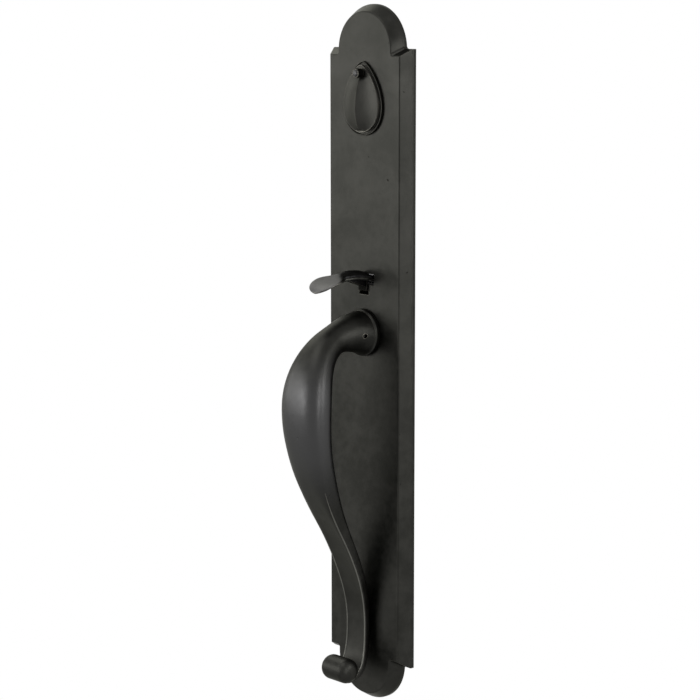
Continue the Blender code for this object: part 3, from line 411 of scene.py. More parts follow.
def machined_metal(name, colour, roughness, axis="Y"):
    """Turned or drawn metal with fine lines along one axis and light handling marks."""
    material, tree, shader = new_material(name)
    stretch = {"Y": (1.0, 30.0, 1.0), "Z": (1.0, 1.0, 30.0)}[axis]
    lines = noise(tree, object_coords(tree, stretch), 260.0, 3.0, 0.6)
    marks = noise(tree, object_coords(tree), 90.0, 5.0, 0.6)
    dim = tuple(c * 0.75 for c in colour)
    bright = tuple(min(1.0, c * 1.25) for c in colour)
    base = mix_colour(tree, remap(tree, marks, 0.32, 0.68), dim, colour)
    edge = worn_edges(tree, 0.0004)
    base = mix_colour(tree, math_node(tree, "MULTIPLY", edge, 0.5), base, bright)
    tree.links.new(base, shader.inputs["Base Color"])
    shader.inputs["Metallic"].default_value = 1.0
    tree.links.new(remap(tree, marks, 0.3, 0.7, roughness, roughness + 0.16), shader.inputs["Roughness"])
    chain_bumps(tree, shader, [(lines, 0.18, 0.00010)])
    return material


def blackened_steel(name):
    material, tree, shader = new_material(name)
    coords = object_coords(tree)
    mottle = noise(tree, coords, 320.0, 4.0, 0.6)
    edge = worn_edges(tree, 0.0004)
    patchy = remap(tree, mottle, 0.35, 0.65)
    base = mix_colour(tree, patchy, (0.020, 0.020, 0.020), (0.042, 0.041, 0.040))
    base = mix_colour(tree, math_node(tree, "MULTIPLY", edge, 0.6), base, (0.24, 0.235, 0.225))
    tree.links.new(base, shader.inputs["Base Color"])
    shader.inputs["Metallic"].default_value = 0.65
    tree.links.new(remap(tree, mottle, 0.3, 0.7, 0.30, 0.42), shader.inputs["Roughness"])
    chain_bumps(tree, shader, [(mottle, 0.12, 0.00006)])
    return material


BRONZE = cast_bronze("cast_bronze_patina")
# The grip: its palm band is painted paler as a highlight, and is partly hand-rubbed wear too.
BRONZE_GRIP = cast_bronze("cast_bronze_rubbed_and_sheen", rubbed=-0.04, handled_and_sheen=(-0.115, -0.040, -0.015, 0.030),
                          wear_share=0.75)
# The lever's patina is painted 1.7 times paler and tinted lavender: a painted reflection of the bright light
# across its top.
BRONZE_LEVER_SHEEN = cast_bronze("cast_bronze_lever_sheen", rubbed=0.03, level=1.7, tint=(1.0, 0.99, 1.12),
                           wear_share=0.9)
# A much paler copy of the patina for the edge beads and lips: painted highlights along edges that catch the
# light.
BRONZE_PAINTED_HIGHLIGHT = cast_bronze("cast_bronze_painted_highlight", level=4.2, wear_share=0.6)
# A near-black copy of the patina for the lug: painted shade where the lug sits under the lever's neck.
BRONZE_PAINTED_SHADE = cast_bronze("cast_bronze_painted_shade", rubbed=-0.3, level=0.2, wear_share=0.0)
BRASS = machined_metal("turned_brass", (0.46, 0.31, 0.13), 0.40)
STEEL = machined_metal("zinc_plated_steel", (0.52, 0.53, 0.54), 0.30)
SPRING_STEEL = machined_metal("spring_steel", (0.34, 0.35, 0.37), 0.26, axis="Z")
BLACK = blackened_steel("blackened_steel")

BRASS_NODES = ("cover_washer", "cylinder_body", "cylinder_plug", "cylinder_ring_nut", "lift_cam")
BLACK_NODES = ("thumb_bracket", "thumb_pivot_pin")
for node_name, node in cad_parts.items():
    finish = BRASS if node_name in BRASS_NODES else BLACK if node_name in BLACK_NODES else STEEL
    node.data.materials.clear()
    node.data.materials.append(finish)


# Mesh helpers
def blend(low, high, t):
    """Ease from 0 to 1 while t goes from low to high."""
    share = min(max((t - low) / (high - low), 0.0), 1.0)
    return share * share * (3.0 - 2.0 * share)


def mix(first, second, share):
    return first + (second - first) * share


def bezier(start, leave, arrive, end, t):
    """A point on a cubic curve in the YZ plane, with its direction there."""
    s = 1.0 - t
    weights = (s ** 3, 3 * s * s * t, 3 * s * t * t, t ** 3)
    slopes = (-3 * s * s, 3 * s * s - 6 * s * t, 6 * s * t - 3 * t * t, 3 * t * t)
    controls = (start, leave, arrive, end)
    place = [sum(w * point[axis] for w, point in zip(weights, controls)) for axis in (0, 1)]
    heading = [sum(w * point[axis] for w, point in zip(slopes, controls)) for axis in (0, 1)]
    length = math.hypot(*heading)
    return place, (heading[0] / length, heading[1] / length)


def section(place, heading, half_width, half_depth, squareness, sides, dish=0.0, ridge=0.0):
    """A rounded section across a path: a superellipse, dished or with a raised ridge if asked."""
    ring = []
    for side in range(sides):
        angle = 2.0 * math.pi * side / sides
        across = math.copysign(abs(math.cos(angle)) ** (2.0 / squareness), math.cos(angle))
        out = math.copysign(abs(math.sin(angle)) ** (2.0 / squareness), math.sin(angle))
        height = half_depth * out + dish * (across * across - 0.5)
        if ridge and out > 0.0:
            flanks = 0.80 * math.exp(-((abs(across) - 0.58) / 0.17) ** 2)
            height += ridge * (math.exp(-(across / 0.30) ** 2) - flanks)
        ring.append((half_width * across, place[0] - height * heading[1], place[1] + height * heading[0]))
    return ring


def loft(rings, ring_shaped=False):
    """Skin a row of rings with equal point counts. A ring-shaped skin closes on itself."""
    count = len(rings[0])
    points = [point for ring in rings for point in ring]
    pairs = [(index, index + 1) for index in range(len(rings) - 1)]
    if ring_shaped:
        pairs.append((len(rings) - 1, 0))
    faces = []
    for low, high in pairs:
        for side in range(count):
            after = (side + 1) % count
            faces.append((low * count + side, low * count + after,
                          high * count + after, high * count + side))
    if not ring_shaped:
        faces.append(tuple(range(count)))
        faces.append(tuple(range((len(rings) - 1) * count, len(rings) * count)))
    return points, faces


def rounded(corners, radius, steps=4):
    """A profile of (a, b) points with each inner corner turned into an arc."""
    out = [corners[0]]
    for before, corner, after in zip(corners, corners[1:], corners[2:]):
        to_before = Vector(before) - Vector(corner)
        to_after = Vector(after) - Vector(corner)
        cut_length = min(radius, 0.48 * to_before.length, 0.48 * to_after.length)
        first = Vector(corner) + to_before.normalized() * cut_length
        last = Vector(corner) + to_after.normalized() * cut_length
        for step in range(steps + 1):
            t = step / steps
            out.append(tuple(first * (1 - t) ** 2 + Vector(corner) * 2 * t * (1 - t) + last * t * t))
    out.append(corners[-1])
    return out


def circle(radius, along, centre, sides, axis="Y"):
    """A ring of points about an axis, X or Y, through the centre."""
    ring = []
    for side in range(sides):
        angle = 2.0 * math.pi * side / sides
        across = radius * math.cos(angle)
        up = radius * math.sin(angle)
        spread = {"X": (along, across, up), "Y": (across, along, up)}[axis]
        ring.append(tuple(base + move for base, move in zip(centre, spread)))
    return ring


def turned(profile, centre, axis="Y", sides=72, ring_shaped=False):
    """Turn a profile of (radius, distance along the axis) about an axis through the centre."""
    return loft([circle(radius, along, centre, sides, axis) for radius, along in profile], ring_shaped)


def rod(radius, start, end, centre, axis="Y", sides=72):
    return turned([(radius, start), (radius, end)], centre, axis, sides)


def prism(outline, x_range):
    """Extrude an outline of (y, z) points along X."""
    return loft([[(x, y, z) for y, z in outline] for x in x_range])


def rounded_rectangle(x_range, z_range, radius, depth, steps=6):
    left, right = x_range
    low, high = z_range
    corners = [(right - radius, high - radius), (left + radius, high - radius),
               (left + radius, low + radius), (right - radius, low + radius)]
    points = []
    for quarter, (x, z) in enumerate(corners):
        for step in range(steps + 1):
            angle = math.pi / 2.0 * (quarter + step / steps)
            points.append((x + radius * math.cos(angle), depth, z + radius * math.sin(angle)))
    return points


def raw_object(name, shape):
    points, faces = shape
    mesh = bpy.data.meshes.new(name)
    mesh.from_pydata([Vector(point) * MM for point in points], [], faces)
    skin = bmesh.new()
    skin.from_mesh(mesh)
    bmesh.ops.recalc_face_normals(skin, faces=skin.faces)
    skin.to_mesh(mesh)
    skin.free()
    item = bpy.data.objects.new(name, mesh)
    bpy.context.scene.collection.objects.link(item)
    return item


def baked_mesh(item):
    """The item's mesh with its modifiers applied."""
    bpy.context.view_layer.update()
    return bpy.data.meshes.new_from_object(item.evaluated_get(bpy.context.evaluated_depsgraph_get()))


def shape_of(mesh):
    """A mesh's points in millimetres, and its faces."""
    points = [tuple(vertex.co / MM) for vertex in mesh.vertices]
    return points, [tuple(face.vertices) for face in mesh.polygons]


def make_piece(name, body, shape, material, node=None, adds=(), cuts=(), sharp=32.0, soften=0.0):
    """Make a piece from a shape, with shapes joined to it and cut from it, and set it on its body."""
    item = raw_object(name, shape)
    tools = []
    for operation, group in (("UNION", adds), ("DIFFERENCE", cuts)):
        for number, tool_shape in enumerate(group):
            tool = raw_object("_".join((name, operation.lower(), str(number))), tool_shape)
            step = item.modifiers.new(tool.name, "BOOLEAN")
            step.operation = operation
            step.solver = "EXACT"
            step.object = tool
            tools.append(tool)
    if tools:
        solid = baked_mesh(item)
        item.modifiers.clear()
        item.data = solid
        for tool in tools:
            bpy.data.objects.remove(tool, do_unlink=True)
    item.data.materials.clear()
    item.data.materials.append(material)
    if soften:
        edge = item.modifiers.new("soft_edges", "BEVEL")
        edge.width = soften * MM
        edge.segments = 2
        edge.limit_method = "ANGLE"
        edge.angle_limit = math.radians(40.0)
    item.data.shade_smooth()
    item.data.set_sharp_from_angle(angle=math.radians(sharp))
    weights = item.modifiers.new("face_weighted_shading", "WEIGHTED_NORMAL")
    weights.weight = 80
    weights.keep_sharp = True
    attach(item, body)
    if node:
        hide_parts(node)
    return item


# Back plate
def plate_outline(inset, depth, arch_steps=84, cove_steps=8):
    """The plate's outline set in by a distance: straight sides, shoulders, coves and arched ends."""
    half_width = PLATE_WIDTH / 2.0 - inset
    radius = ARCH_RADIUS - inset
    rise = ARCH_DROP - inset
    ledge = half_width - math.sqrt(radius * radius - rise * rise)
    cove = min(COVE_RADIUS, ledge / 2.0)
    cove_z = rise + cove
    cove_x = math.sqrt((radius + cove) ** 2 - cove_z ** 2)
    lift = math.atan2(cove_z, cove_x)
    shoulder = [(half_width, rise)]
    for step in range(cove_steps):
        angle = 1.5 * math.pi - (math.pi / 2.0 - lift) * step / cove_steps
        shoulder.append((cove_x + cove * math.cos(angle), cove_z + cove * math.sin(angle)))
    arch = []
    for step in range(arch_steps + 1):
        angle = lift + (math.pi - 2.0 * lift) * step / arch_steps
        arch.append((radius * math.cos(angle), radius * math.sin(angle)))
    half = shoulder + arch + [(-x, z) for x, z in reversed(shoulder)]
    centre = SHOULDER_HEIGHT - ARCH_DROP
    return [(end * x, depth, end * (centre + z)) for end in (1.0, -1.0) for x, z in half]


def end_pocket(start_z, end):
    rings = []
    for inset, depth in ((RIM_WALL, CUT_MARGIN), (RIM_WALL, 0.0), (RIM_WALL + POCKET_DRAFT, WALL_Y)):
        outline = plate_outline(inset, depth, 40, 4)
        half = len(outline) // 2
        arch = outline[:half] if end > 0 else outline[half:]
        first, last = arch[0], arch[-1]
        rings.append([(first[0], depth, start_z)] + arch + [(last[0], depth, start_z)])
    return loft(rings)


def middle_pocket(low, high):
    half_width = PLATE_WIDTH / 2.0 - RIM_WALL
    floor_half = half_width - POCKET_DRAFT
    return loft([rounded_rectangle((-half, half), (low, high), POCKET_CORNER, depth)
                 for half, depth in ((half_width, CUT_MARGIN), (half_width, 0.0), (floor_half, WALL_Y))])


def slot_shape(half_width, low, high, corner, start, end):
    return loft([rounded_rectangle((-half_width, half_width), (low, high), corner, depth)
                 for depth in (start, end)])


def make_plate():
    edge = [(0.0, 0.0), (0.0, -PLATE_SIDE), (BEVEL_WIDTH, FACE_Y), (BEVEL_WIDTH + 4.0, FACE_Y)]
    profile = rounded(edge, 1.1, 5)
    shell = loft([plate_outline(inset, depth) for inset, depth in profile])
    half_rib = RIB_WIDTH / 2.0
    pockets = [end_pocket(RIB_HEIGHTS[-1] + half_rib, 1.0), end_pocket(RIB_HEIGHTS[0] - half_rib, -1.0)]
    for low, high in zip(RIB_HEIGHTS, RIB_HEIGHTS[1:]):
        pockets.append(middle_pocket(low + half_rib, high - half_rib))
    carved = make_piece("back_plate_casting", "root", shell, BRONZE, cuts=pockets)
    bosses = [rod(radius, WALL_Y - WELD_DEPTH, tip, (0.0, 0.0, height), sides=48)
              for radius, tip, heights in ((BOSS_RADIUS, BOSS_REAR_Y, SCREW_HEIGHTS),
                                           (POST_BOSS_RADIUS, POST_BOSS_Y, POST_HEIGHTS))
              for height in heights]
    through = (FACE_Y - CUT_MARGIN, WALL_Y + CUT_MARGIN)
    slot_low = THUMB_Z - SLOT_FALL
    bores = [rod(CYLINDER_RADIUS + FIT_GAP, *through, (0.0, 0.0, CYLINDER_Z)),
             rod(PIVOT_RADIUS + FIT_GAP, *through, (0.0, 0.0, PIVOT_Z), sides=32),
             rod(STUD_RADIUS + FIT_GAP, *through, (0.0, 0.0, GRIP_Z), sides=40),
             rod(FOOT_SCREW_RADIUS + FIT_GAP, *through, (0.0, 0.0, STRAP_Z), sides=32),
             slot_shape(SLOT_HALF_WIDTH, slot_low, THUMB_Z + SLOT_RISE, 1.5, *through),
             slot_shape(NOTCH_HALF_WIDTH, THUMB_Z - NOTCH_FALL, slot_low + CUT_MARGIN, 0.8, *through)]
    bores += [rod(SCREW_RADIUS + FIT_GAP, WALL_Y + FIT_GAP, -2.0, (0.0, 0.0, height), sides=32)
              for height in SCREW_HEIGHTS]
    bores += [rod(POST_STUB_RADIUS + FIT_GAP, WALL_Y, -1.0, (0.0, 0.0, height), sides=40)
              for height in POST_HEIGHTS]
    shape = shape_of(carved.data)
    bpy.data.objects.remove(carved, do_unlink=True)
    make_piece("back_plate_casting", "root", shape, BRONZE, "back_plate",
               adds=bosses, cuts=bores, soften=0.35)


# Rose and swinging cover
def lobe(t):
    """The teardrop's half width at a turn t from its top, before it is scaled."""
    return math.sin(t) * mix(math.sin(t / 2.0), 1.0, ROSE_FULLNESS)


WIDEST_LOBE = max(lobe(math.pi * step / 90.0) for step in range(91))


def drop_half_width(full_half_width, t):
    return full_half_width * lobe(t) / WIDEST_LOBE


def drop_outline(inset, depth, steps=180):
    centre = (ROSE_TOP + ROSE_BOTTOM) / 2.0
    half_height = (ROSE_TOP - ROSE_BOTTOM) / 2.0 - inset
    points = []
    for step in range(steps):
        t = 2.0 * math.pi * (step + 0.5) / steps
        reach = drop_half_width(ROSE_HALF_WIDTH - inset, min(t, 2.0 * math.pi - t))
        x = math.copysign(reach, math.pi - t)
        points.append((x, depth, centre + half_height * math.cos(t)))
    return points


def make_rose():
    """The rose, with a groove sunk round the cover."""
    groove = ROSE_FACE_Y + ROSE_GROOVE
    profile = rounded([(0.0, ROSE_BACK_Y), (0.0, ROSE_FACE_Y), (1.0, ROSE_FACE_Y), (1.15, groove),
                       (2.9, groove), (3.1, ROSE_FACE_Y), (4.0, ROSE_FACE_Y)], 0.5, 4)
    centre = (0.0, 0.0, CYLINDER_Z)
    through = (ROSE_FACE_Y - CUT_MARGIN, ROSE_BACK_Y + CUT_MARGIN)
    make_piece("drop_rose_casting", "root", loft([drop_outline(inset, depth) for inset, depth in profile]),
               BRONZE, "drop_rose",
               cuts=[rod(FLANGE_RADIUS + FIT_GAP, ROSE_FACE_Y - CUT_MARGIN, ROSE_FACE_Y + 1.3, centre),
                     rod(CYLINDER_RADIUS + FIT_GAP, *through, centre),
                     rod(PIVOT_RADIUS + FIT_GAP, *through, (0.0, 0.0, PIVOT_Z), sides=32)])


def cover_section(t, columns=26):
    """One level cut through the cover: flat back, rim, and a ridge with hollow flanks."""
    centre = (ROSE_TOP + ROSE_BOTTOM) / 2.0
    half_height = (ROSE_TOP - ROSE_BOTTOM) / 2.0 - COVER_TOP_MARGIN
    half_width = drop_half_width(ROSE_HALF_WIDTH - COVER_MARGIN, t)
    z = centre + half_height * math.cos(t)
    swell = 0.0
    if RIDGE_START < t < RIDGE_END:
        swell = math.sin(math.pi * (t - RIDGE_START) / (RIDGE_END - RIDGE_START)) ** RIDGE_FULLNESS
    ring = [(half_width, COVER_BACK_Y, z), (half_width, COVER_RIM_Y + 0.35, z)]
    for column in range(-columns, columns + 1):
        across = -column / (columns + 0.8)
        height = COVER_RIDGE * swell * (1.0 - abs(across)) ** 1.7
        ring.append((half_width * across, COVER_RIM_Y - height, z))
    ring += [(-half_width, COVER_RIM_Y + 0.35, z), (-half_width, COVER_BACK_Y, z)]
    return ring


def make_cover():
    first, last, rows = 0.14, math.pi - 0.05, 96
    rings = [cover_section(first + (last - first) * row / rows) for row in range(rows + 1)]
    centre = (0.0, 0.0, PIVOT_Z)
    knuckle = rounded([(COVER_BOSS_RADIUS, COVER_RIM_Y + WELD_DEPTH), (COVER_BOSS_RADIUS, BOSS_FACE_Y),
                       (COVER_BOSS_RADIUS - 1.4, BOSS_FACE_Y)], 0.5, 4)
    recess = BOSS_FACE_Y + PIVOT_HEAD_HEIGHT - FIT_GAP
    make_piece("keyway_cover_casting", "cover", loft(rings), BRONZE, "keyway_cover",
               adds=[turned(knuckle, centre)],
               cuts=[rod(PIVOT_RADIUS + RUNNING_GAP, BOSS_FACE_Y - CUT_MARGIN, COVER_BACK_Y + CUT_MARGIN,
                         centre, sides=40),
                     rod(PIVOT_HEAD_RADIUS + FIT_GAP, BOSS_FACE_Y - CUT_MARGIN, recess, centre, sides=56)],
               sharp=28.0)
    under_head = BOSS_FACE_Y + PIVOT_HEAD_HEIGHT - 2 * FIT_GAP
    dome = under_head - PIVOT_HEAD_HEIGHT
    rivet_start = WALL_Y + FIT_GAP
    profile = [(PIVOT_HEAD_RADIUS * 0.05, dome), (PIVOT_HEAD_RADIUS * 0.45, dome + 0.08),
               (PIVOT_HEAD_RADIUS * 0.85, dome + 0.36), (PIVOT_HEAD_RADIUS * 0.97, dome + 0.62),
               (PIVOT_HEAD_RADIUS, dome + 0.9), (PIVOT_HEAD_RADIUS, under_head), (PIVOT_RADIUS, under_head),
               (PIVOT_RADIUS, rivet_start), (PIVOT_HEAD_RADIUS, rivet_start),
               (PIVOT_HEAD_RADIUS, rivet_start + 0.5), (PIVOT_HEAD_RADIUS - 0.5, rivet_start + 0.9)]
    make_piece("cover_pivot_rivet", "root", turned(profile, centre, sides=56), BLACK,
               "cover_pivot_pin")


# Thumb lever
def lever_section(t, sides=56):
    """One section of the thumb lever: stem, crowned and arched neck, then the dished oval pad."""
    tip = (-LEVER_REACH, THUMB_Z - LEVER_DROP)
    place, heading = bezier((THUMB_Y, THUMB_Z), (-ARCH_REACH, THUMB_Z + LEVER_ARCH),
                            (-PAD_REACH, THUMB_Z + PAD_RISE), tip, t)
    stem = mix(STEM_HALF_WIDTH, NECK_HALF_WIDTH, blend(0.12, 0.40, t)) * (1.0 - blend(0.62, 0.9, t))
    offset = (place[0] + LEVER_REACH - PAD_HALF_LENGTH) / PAD_HALF_LENGTH
    pad = PAD_HALF_WIDTH * max(1.0 - offset * offset, 0.0) ** (0.5 + PAD_TAPER * max(offset, 0.0))
    half_width = (stem ** 3 + pad ** 3) ** (1.0 / 3.0)
    depth = mix(STEM_THICKNESS, PAD_THICKNESS, blend(0.5, 0.82, t)) * (1.0 - 0.45 * blend(0.93, 1.0, t))
    crown = NECK_CROWN * blend(0.1, 0.32, t)
    dish = mix(-crown, PAD_DISH * pad / PAD_HALF_WIDTH, blend(0.5, 0.75, t))
    squareness = mix(2.5, 3.4, blend(0.1, 0.3, t) * (1.0 - blend(0.55, 0.8, t)))
    ridge = NECK_RIDGE * blend(0.06, 0.2, t) * (1.0 - blend(0.45, 0.66, t))
    return section(place, (-heading[0], -heading[1]), half_width, depth / 2.0, squareness, sides, dish, ridge)


def neck_lip(name, side):
    """The rolled lip under one edge of the lever's neck, from the stem to the pad, much paler than the
    patina: a painted highlight along the edge.
    """
    rings = []
    steps = 60
    for step in range(steps + 1):
        share = step / steps
        t = mix(0.13, 0.80, share)
        ring = lever_section(t)
        edge = max(ring, key=lambda point: side * point[0])
        radius = NECK_LIP_RADIUS * min(1.0, 0.1 + 5.0 * share, 0.1 + 5.0 * (1.0 - share))
        drop = mix(1.5, 0.8, blend(0.6, 1.0, share))
        rings.append([(edge[0] - side * 0.9 + radius * math.cos(angle),
                       edge[1] + radius * 0.3 * math.sin(angle), edge[2] - drop + radius * math.sin(angle))
                      for angle in (2.0 * math.pi * turn / 16.0 for turn in range(16))])
    make_piece(name, "lever", loft(rings), BRONZE_PAINTED_HIGHLIGHT, "thumbpiece", sharp=70.0)


def make_lever():
    stations = 110
    neck_lip("neck_lip_left", -1.0)
    neck_lip("neck_lip_right", 1.0)
    rings = [lever_section(0.998 * (1.0 - (1.0 - step / stations) ** 1.35)) for step in range(stations + 1)]
    pivot = (0.0, THUMB_Y, THUMB_Z)
    lug_back = FACE_Y - LUG_STANDOFF
    lug_front = lug_back - LUG_THICKNESS
    lug_low = THUMB_Z - LUG_DROP
    lug = prism([(lug_back, THUMB_Z + 2.0), (lug_back, lug_low), (lug_front + 0.4, lug_low),
                 (lug_front, lug_low + 0.4), (lug_front, THUMB_Z + 2.0)], (-LUG_HALF_WIDTH, LUG_HALF_WIDTH))
    # The lug is painted near-black as the shade under the neck.
    make_piece("thumbpiece_lug", "lever", lug, BRONZE_PAINTED_SHADE, "thumbpiece")
    core = THUMB_Z + 3.6
    web = prism([(lug_back - 0.65, THUMB_Z + 2.6), (lug_back - 0.65, lug_low + 3.0),
                 (-WEB_REACH, THUMB_Z + 1.2), (-WEB_END, core + 0.6), (lug_front - 6.0, core)],
                (-WEB_HALF_WIDTH, WEB_HALF_WIDTH))
    bar_top = THUMB_Z + TAIL_BAR_RISE
    bar_low = THUMB_Z - 1.5
    foot_top = LATCH_Z - CAM_ARM_HALF - FIT_GAP
    foot_low = foot_top - FOOT_THICKNESS
    hook = prism([(THUMB_Y, bar_top), (TAIL_REAR_Y, bar_top), (TAIL_REAR_Y, foot_top),
                  (FOOT_REAR_Y, foot_top), (FOOT_REAR_Y, foot_low), (TAIL_FRONT_Y, foot_low),
                  (TAIL_FRONT_Y, bar_low), (THUMB_Y, bar_low)], (TAIL_INNER_X, TAIL_OUTER_X))
    barrel = rod(THUMB_BARREL_RADIUS, -THUMB_BARREL_HALF, THUMB_BARREL_HALF, pivot, "X", 48)
    bore_end = THUMB_BARREL_HALF + CUT_MARGIN
    make_piece("thumbpiece_casting", "lever", loft(rings), BRONZE_LEVER_SHEEN, "thumbpiece",
               adds=[barrel, web, hook],
               cuts=[rod(THUMB_BORE_RADIUS, -bore_end, bore_end, pivot, "X", 40)])


# Grip
def neck_section(t):
    """One section of the grip from the bell to the broad palm."""
    place, heading = bezier((BELL_BACK_Y, GRIP_Z), (NECK_REACH_Y, GRIP_Z + NECK_LIFT),
                            (PALM_Y, PALM_Z + PALM_RISE), (PALM_Y, PALM_Z), t)
    radius = NECK_RADIUS + (BELL_EDGE_RADIUS - NECK_RADIUS) * (1.0 - blend(-0.12, 0.34, t)) * 1.25
    swell = blend(0.22, 0.95, t)
    return section(place, heading, mix(radius, PALM_HALF_WIDTH, swell), mix(radius, PALM_HALF_DEPTH, swell),
                   mix(2.0, 2.5, swell), GRIP_SIDES)


def strap_shape(t):
    """The measures of a section from the palm down to the lower fixing."""
    place, heading = bezier((PALM_Y, PALM_Z), (PALM_Y, PALM_Z - PALM_FALL), (STRAP_Y, STRAP_Z + STRAP_RISE),
                            (STRAP_Y, STRAP_Z), t)
    waist = mix(PALM_HALF_WIDTH, STRAP_HALF_WIDTH, blend(-0.02, 0.55, t))
    half_width = waist + (ANKLE_HALF_WIDTH - STRAP_HALF_WIDTH) * blend(0.7, 1.0, t)
    thinned = mix(PALM_HALF_DEPTH, STRAP_HALF_DEPTH, blend(-0.03, 0.66, t))
    half_depth = thinned + (ANKLE_HALF_DEPTH - STRAP_HALF_DEPTH) * blend(0.6, 1.0, t)
    squareness = mix(2.5, STRAP_SQUARENESS, blend(0.1, 0.66, t))
    return place, heading, half_width, half_depth, squareness, -STRAP_HOLLOW * blend(0.1, 0.5, t)


def curl_shape(t):
    """The measures of a section where the strap turns forward under the scroll."""
    under = SCROLL_Z - SCROLL_RADIUS + ANKLE_HALF_DEPTH
    place, heading = bezier((STRAP_Y, STRAP_Z), (STRAP_Y + 0.4, STRAP_Z - STRAP_FALL),
                            (SCROLL_Y + 15.0, under), (SCROLL_Y, under), t)
    half_width = mix(ANKLE_HALF_WIDTH, SCROLL_HALF_WIDTH - 2.4, blend(0.0, 0.8, t))
    return place, heading, half_width, ANKLE_HALF_DEPTH, STRAP_SQUARENESS, -STRAP_HOLLOW


def shaped_section(shape):
    place, heading, half_width, half_depth, squareness, dish = shape
    return section(place, heading, half_width, half_depth, squareness, GRIP_SIDES, dish)


def edge_bead(name, side):
    """The fine raised bead along one edge of the strap's outer face, much paler than the patina: a painted
    highlight along the edge.
    """
    shapes = [strap_shape(0.30 + 0.70 * step / 70) for step in range(70)]
    shapes += [curl_shape(0.86 * step / 30) for step in range(31)]
    across = STRAP_BEAD_PLACE
    rings = []
    for number, (place, heading, half_width, half_depth, squareness, dish) in enumerate(shapes):
        share = number / (len(shapes) - 1)
        radius = STRAP_BEAD_RADIUS * min(1.0, 0.15 + 6.0 * share, 0.15 + 6.0 * (1.0 - share))
        drop = half_depth * (1.0 - across ** squareness) ** (1.0 / squareness)
        height = dish * (across * across - 0.5) - drop
        ring = []
        for step in range(12):
            angle = 2.0 * math.pi * step / 12.0
            out = height + 0.12 + radius * math.sin(angle)
            ring.append((side * half_width * across + radius * math.cos(angle),
                         place[0] - out * heading[1], place[1] + out * heading[0]))
        rings.append(ring)
    make_piece(name, "root", loft(rings), BRONZE_PAINTED_HIGHLIGHT, "grip_handle", sharp=70.0)


def make_grip():
    """The grip in one skin, with the scroll and the lower foot joined on and its holes cut."""
    flat = (-1.0, 0.0)
    bell = rounded([(18.0, 0.0), (BELL_RADIUS, 0.0), (BELL_RADIUS, BELL_SIDE),
                    (BELL_EDGE_RADIUS, BELL_DEPTH)], 0.7, 3)
    rings = [section((BELL_BACK_Y - along, GRIP_Z), flat, radius, radius, 2.0, GRIP_SIDES)
             for radius, along in bell]
    rings += [neck_section(0.085 + 0.915 * step / 60) for step in range(60)]
    rings += [shaped_section(strap_shape(step / 76)) for step in range(76)]
    rings += [shaped_section(curl_shape(step / 34)) for step in range(35)]
    half = SCROLL_HALF_WIDTH
    quarter = [(SCROLL_RADIUS - SCROLL_ROUND * (1.0 - math.sin(a)), half - SCROLL_ROUND * (1.0 - math.cos(a)))
               for a in (math.pi / 2.0 * step / 14.0 for step in range(15))]
    end_dome = [(SCROLL_RADIUS * 0.02, half + 0.3), (SCROLL_RADIUS * 0.14, half + 0.26), *quarter]
    profile = end_dome + [(radius, -along) for radius, along in reversed(end_dome)]
    scroll = turned(profile, (0.0, SCROLL_Y, SCROLL_Z), "X", 84)
    upper, lower = (0.0, 0.0, GRIP_Z), (0.0, 0.0, STRAP_Z)
    foot = rod(FOOT_BOSS_RADIUS, STRAP_Y + ANKLE_HALF_DEPTH - WELD_DEPTH, BELL_BACK_Y, lower, sides=56)
    socket_end = BELL_BACK_Y - STUD_DEPTH - FIT_GAP
    screw_centre = (0.0, SET_SCREW_Y, GRIP_Z)
    make_piece("grip_casting", "root", loft(rings), BRONZE_GRIP, "grip_handle",
               adds=[scroll, foot],
               cuts=[rod(STUD_HOLE_RADIUS, BELL_BACK_Y + CUT_MARGIN, socket_end, upper, sides=48),
                     rod(FOOT_HOLE_RADIUS, BELL_BACK_Y + CUT_MARGIN, STRAP_Y - ANKLE_HALF_DEPTH + 2.4, lower,
                         sides=32),
                     rod(1.9, 0.0, BELL_RADIUS, screw_centre, "X", 40)])
    edge_bead("strap_edge_left", -1.0)
    edge_bead("strap_edge_right", 1.0)
    hexagon = rod(0.95, 12.2, 15.0, screw_centre, "X", 6)
    screw = rounded([(0.9, 4.3), (1.6, 4.9), (1.6, 13.7), (1.0, 13.7)], 0.25, 3)
    make_piece("grip_set_screw_socket", "root", turned(screw, screw_centre, "X", 40), BLACK,
               "grip_set_screw", cuts=[hexagon])


# Fasteners behind the plate
def threaded(radius, start, end, centre, pitch, depth, sides=40):
    """The rings of a rod along Y with a helical thread, its ends run out to the root."""
    steps_per_turn = 8
    steps = int((end - start) / pitch * steps_per_turn)
    rings = []
    for step in range(steps + 1):
        along = start + (end - start) * step / steps
        ring = []
        for side in range(sides):
            angle = 2.0 * math.pi * side / sides
            phase = ((along - start) / pitch - side / sides) % 1.0
            crest = 1.0 - abs(2.0 * phase - 1.0)
            fade = min(1.0, (along - start) / pitch, (end - along) / pitch)
            local = radius - depth * (1.0 - crest * max(fade, 0.0))
            ring.append((centre[0] + local * math.cos(angle), centre[1] + along,
                         centre[2] + local * math.sin(angle)))
        rings.append(ring)
    return rings


def cross_recess(height, top, size, depth):
    """Cutters for the two tapering wings of a cross recess in the head's top."""
    cutters = []
    for wide, tall in ((size, 0.24 * size), (0.24 * size, size)):
        rings = []
        for share, along in ((1.0, top + 0.3), (1.0, top), (0.45, top - depth)):
            x, z = wide * share, tall * share
            rings.append([(-x, along, height - z), (x, along, height - z),
                          (x, along, height + z), (-x, along, height + z)])
        cutters.append(loft(rings))
    return cutters


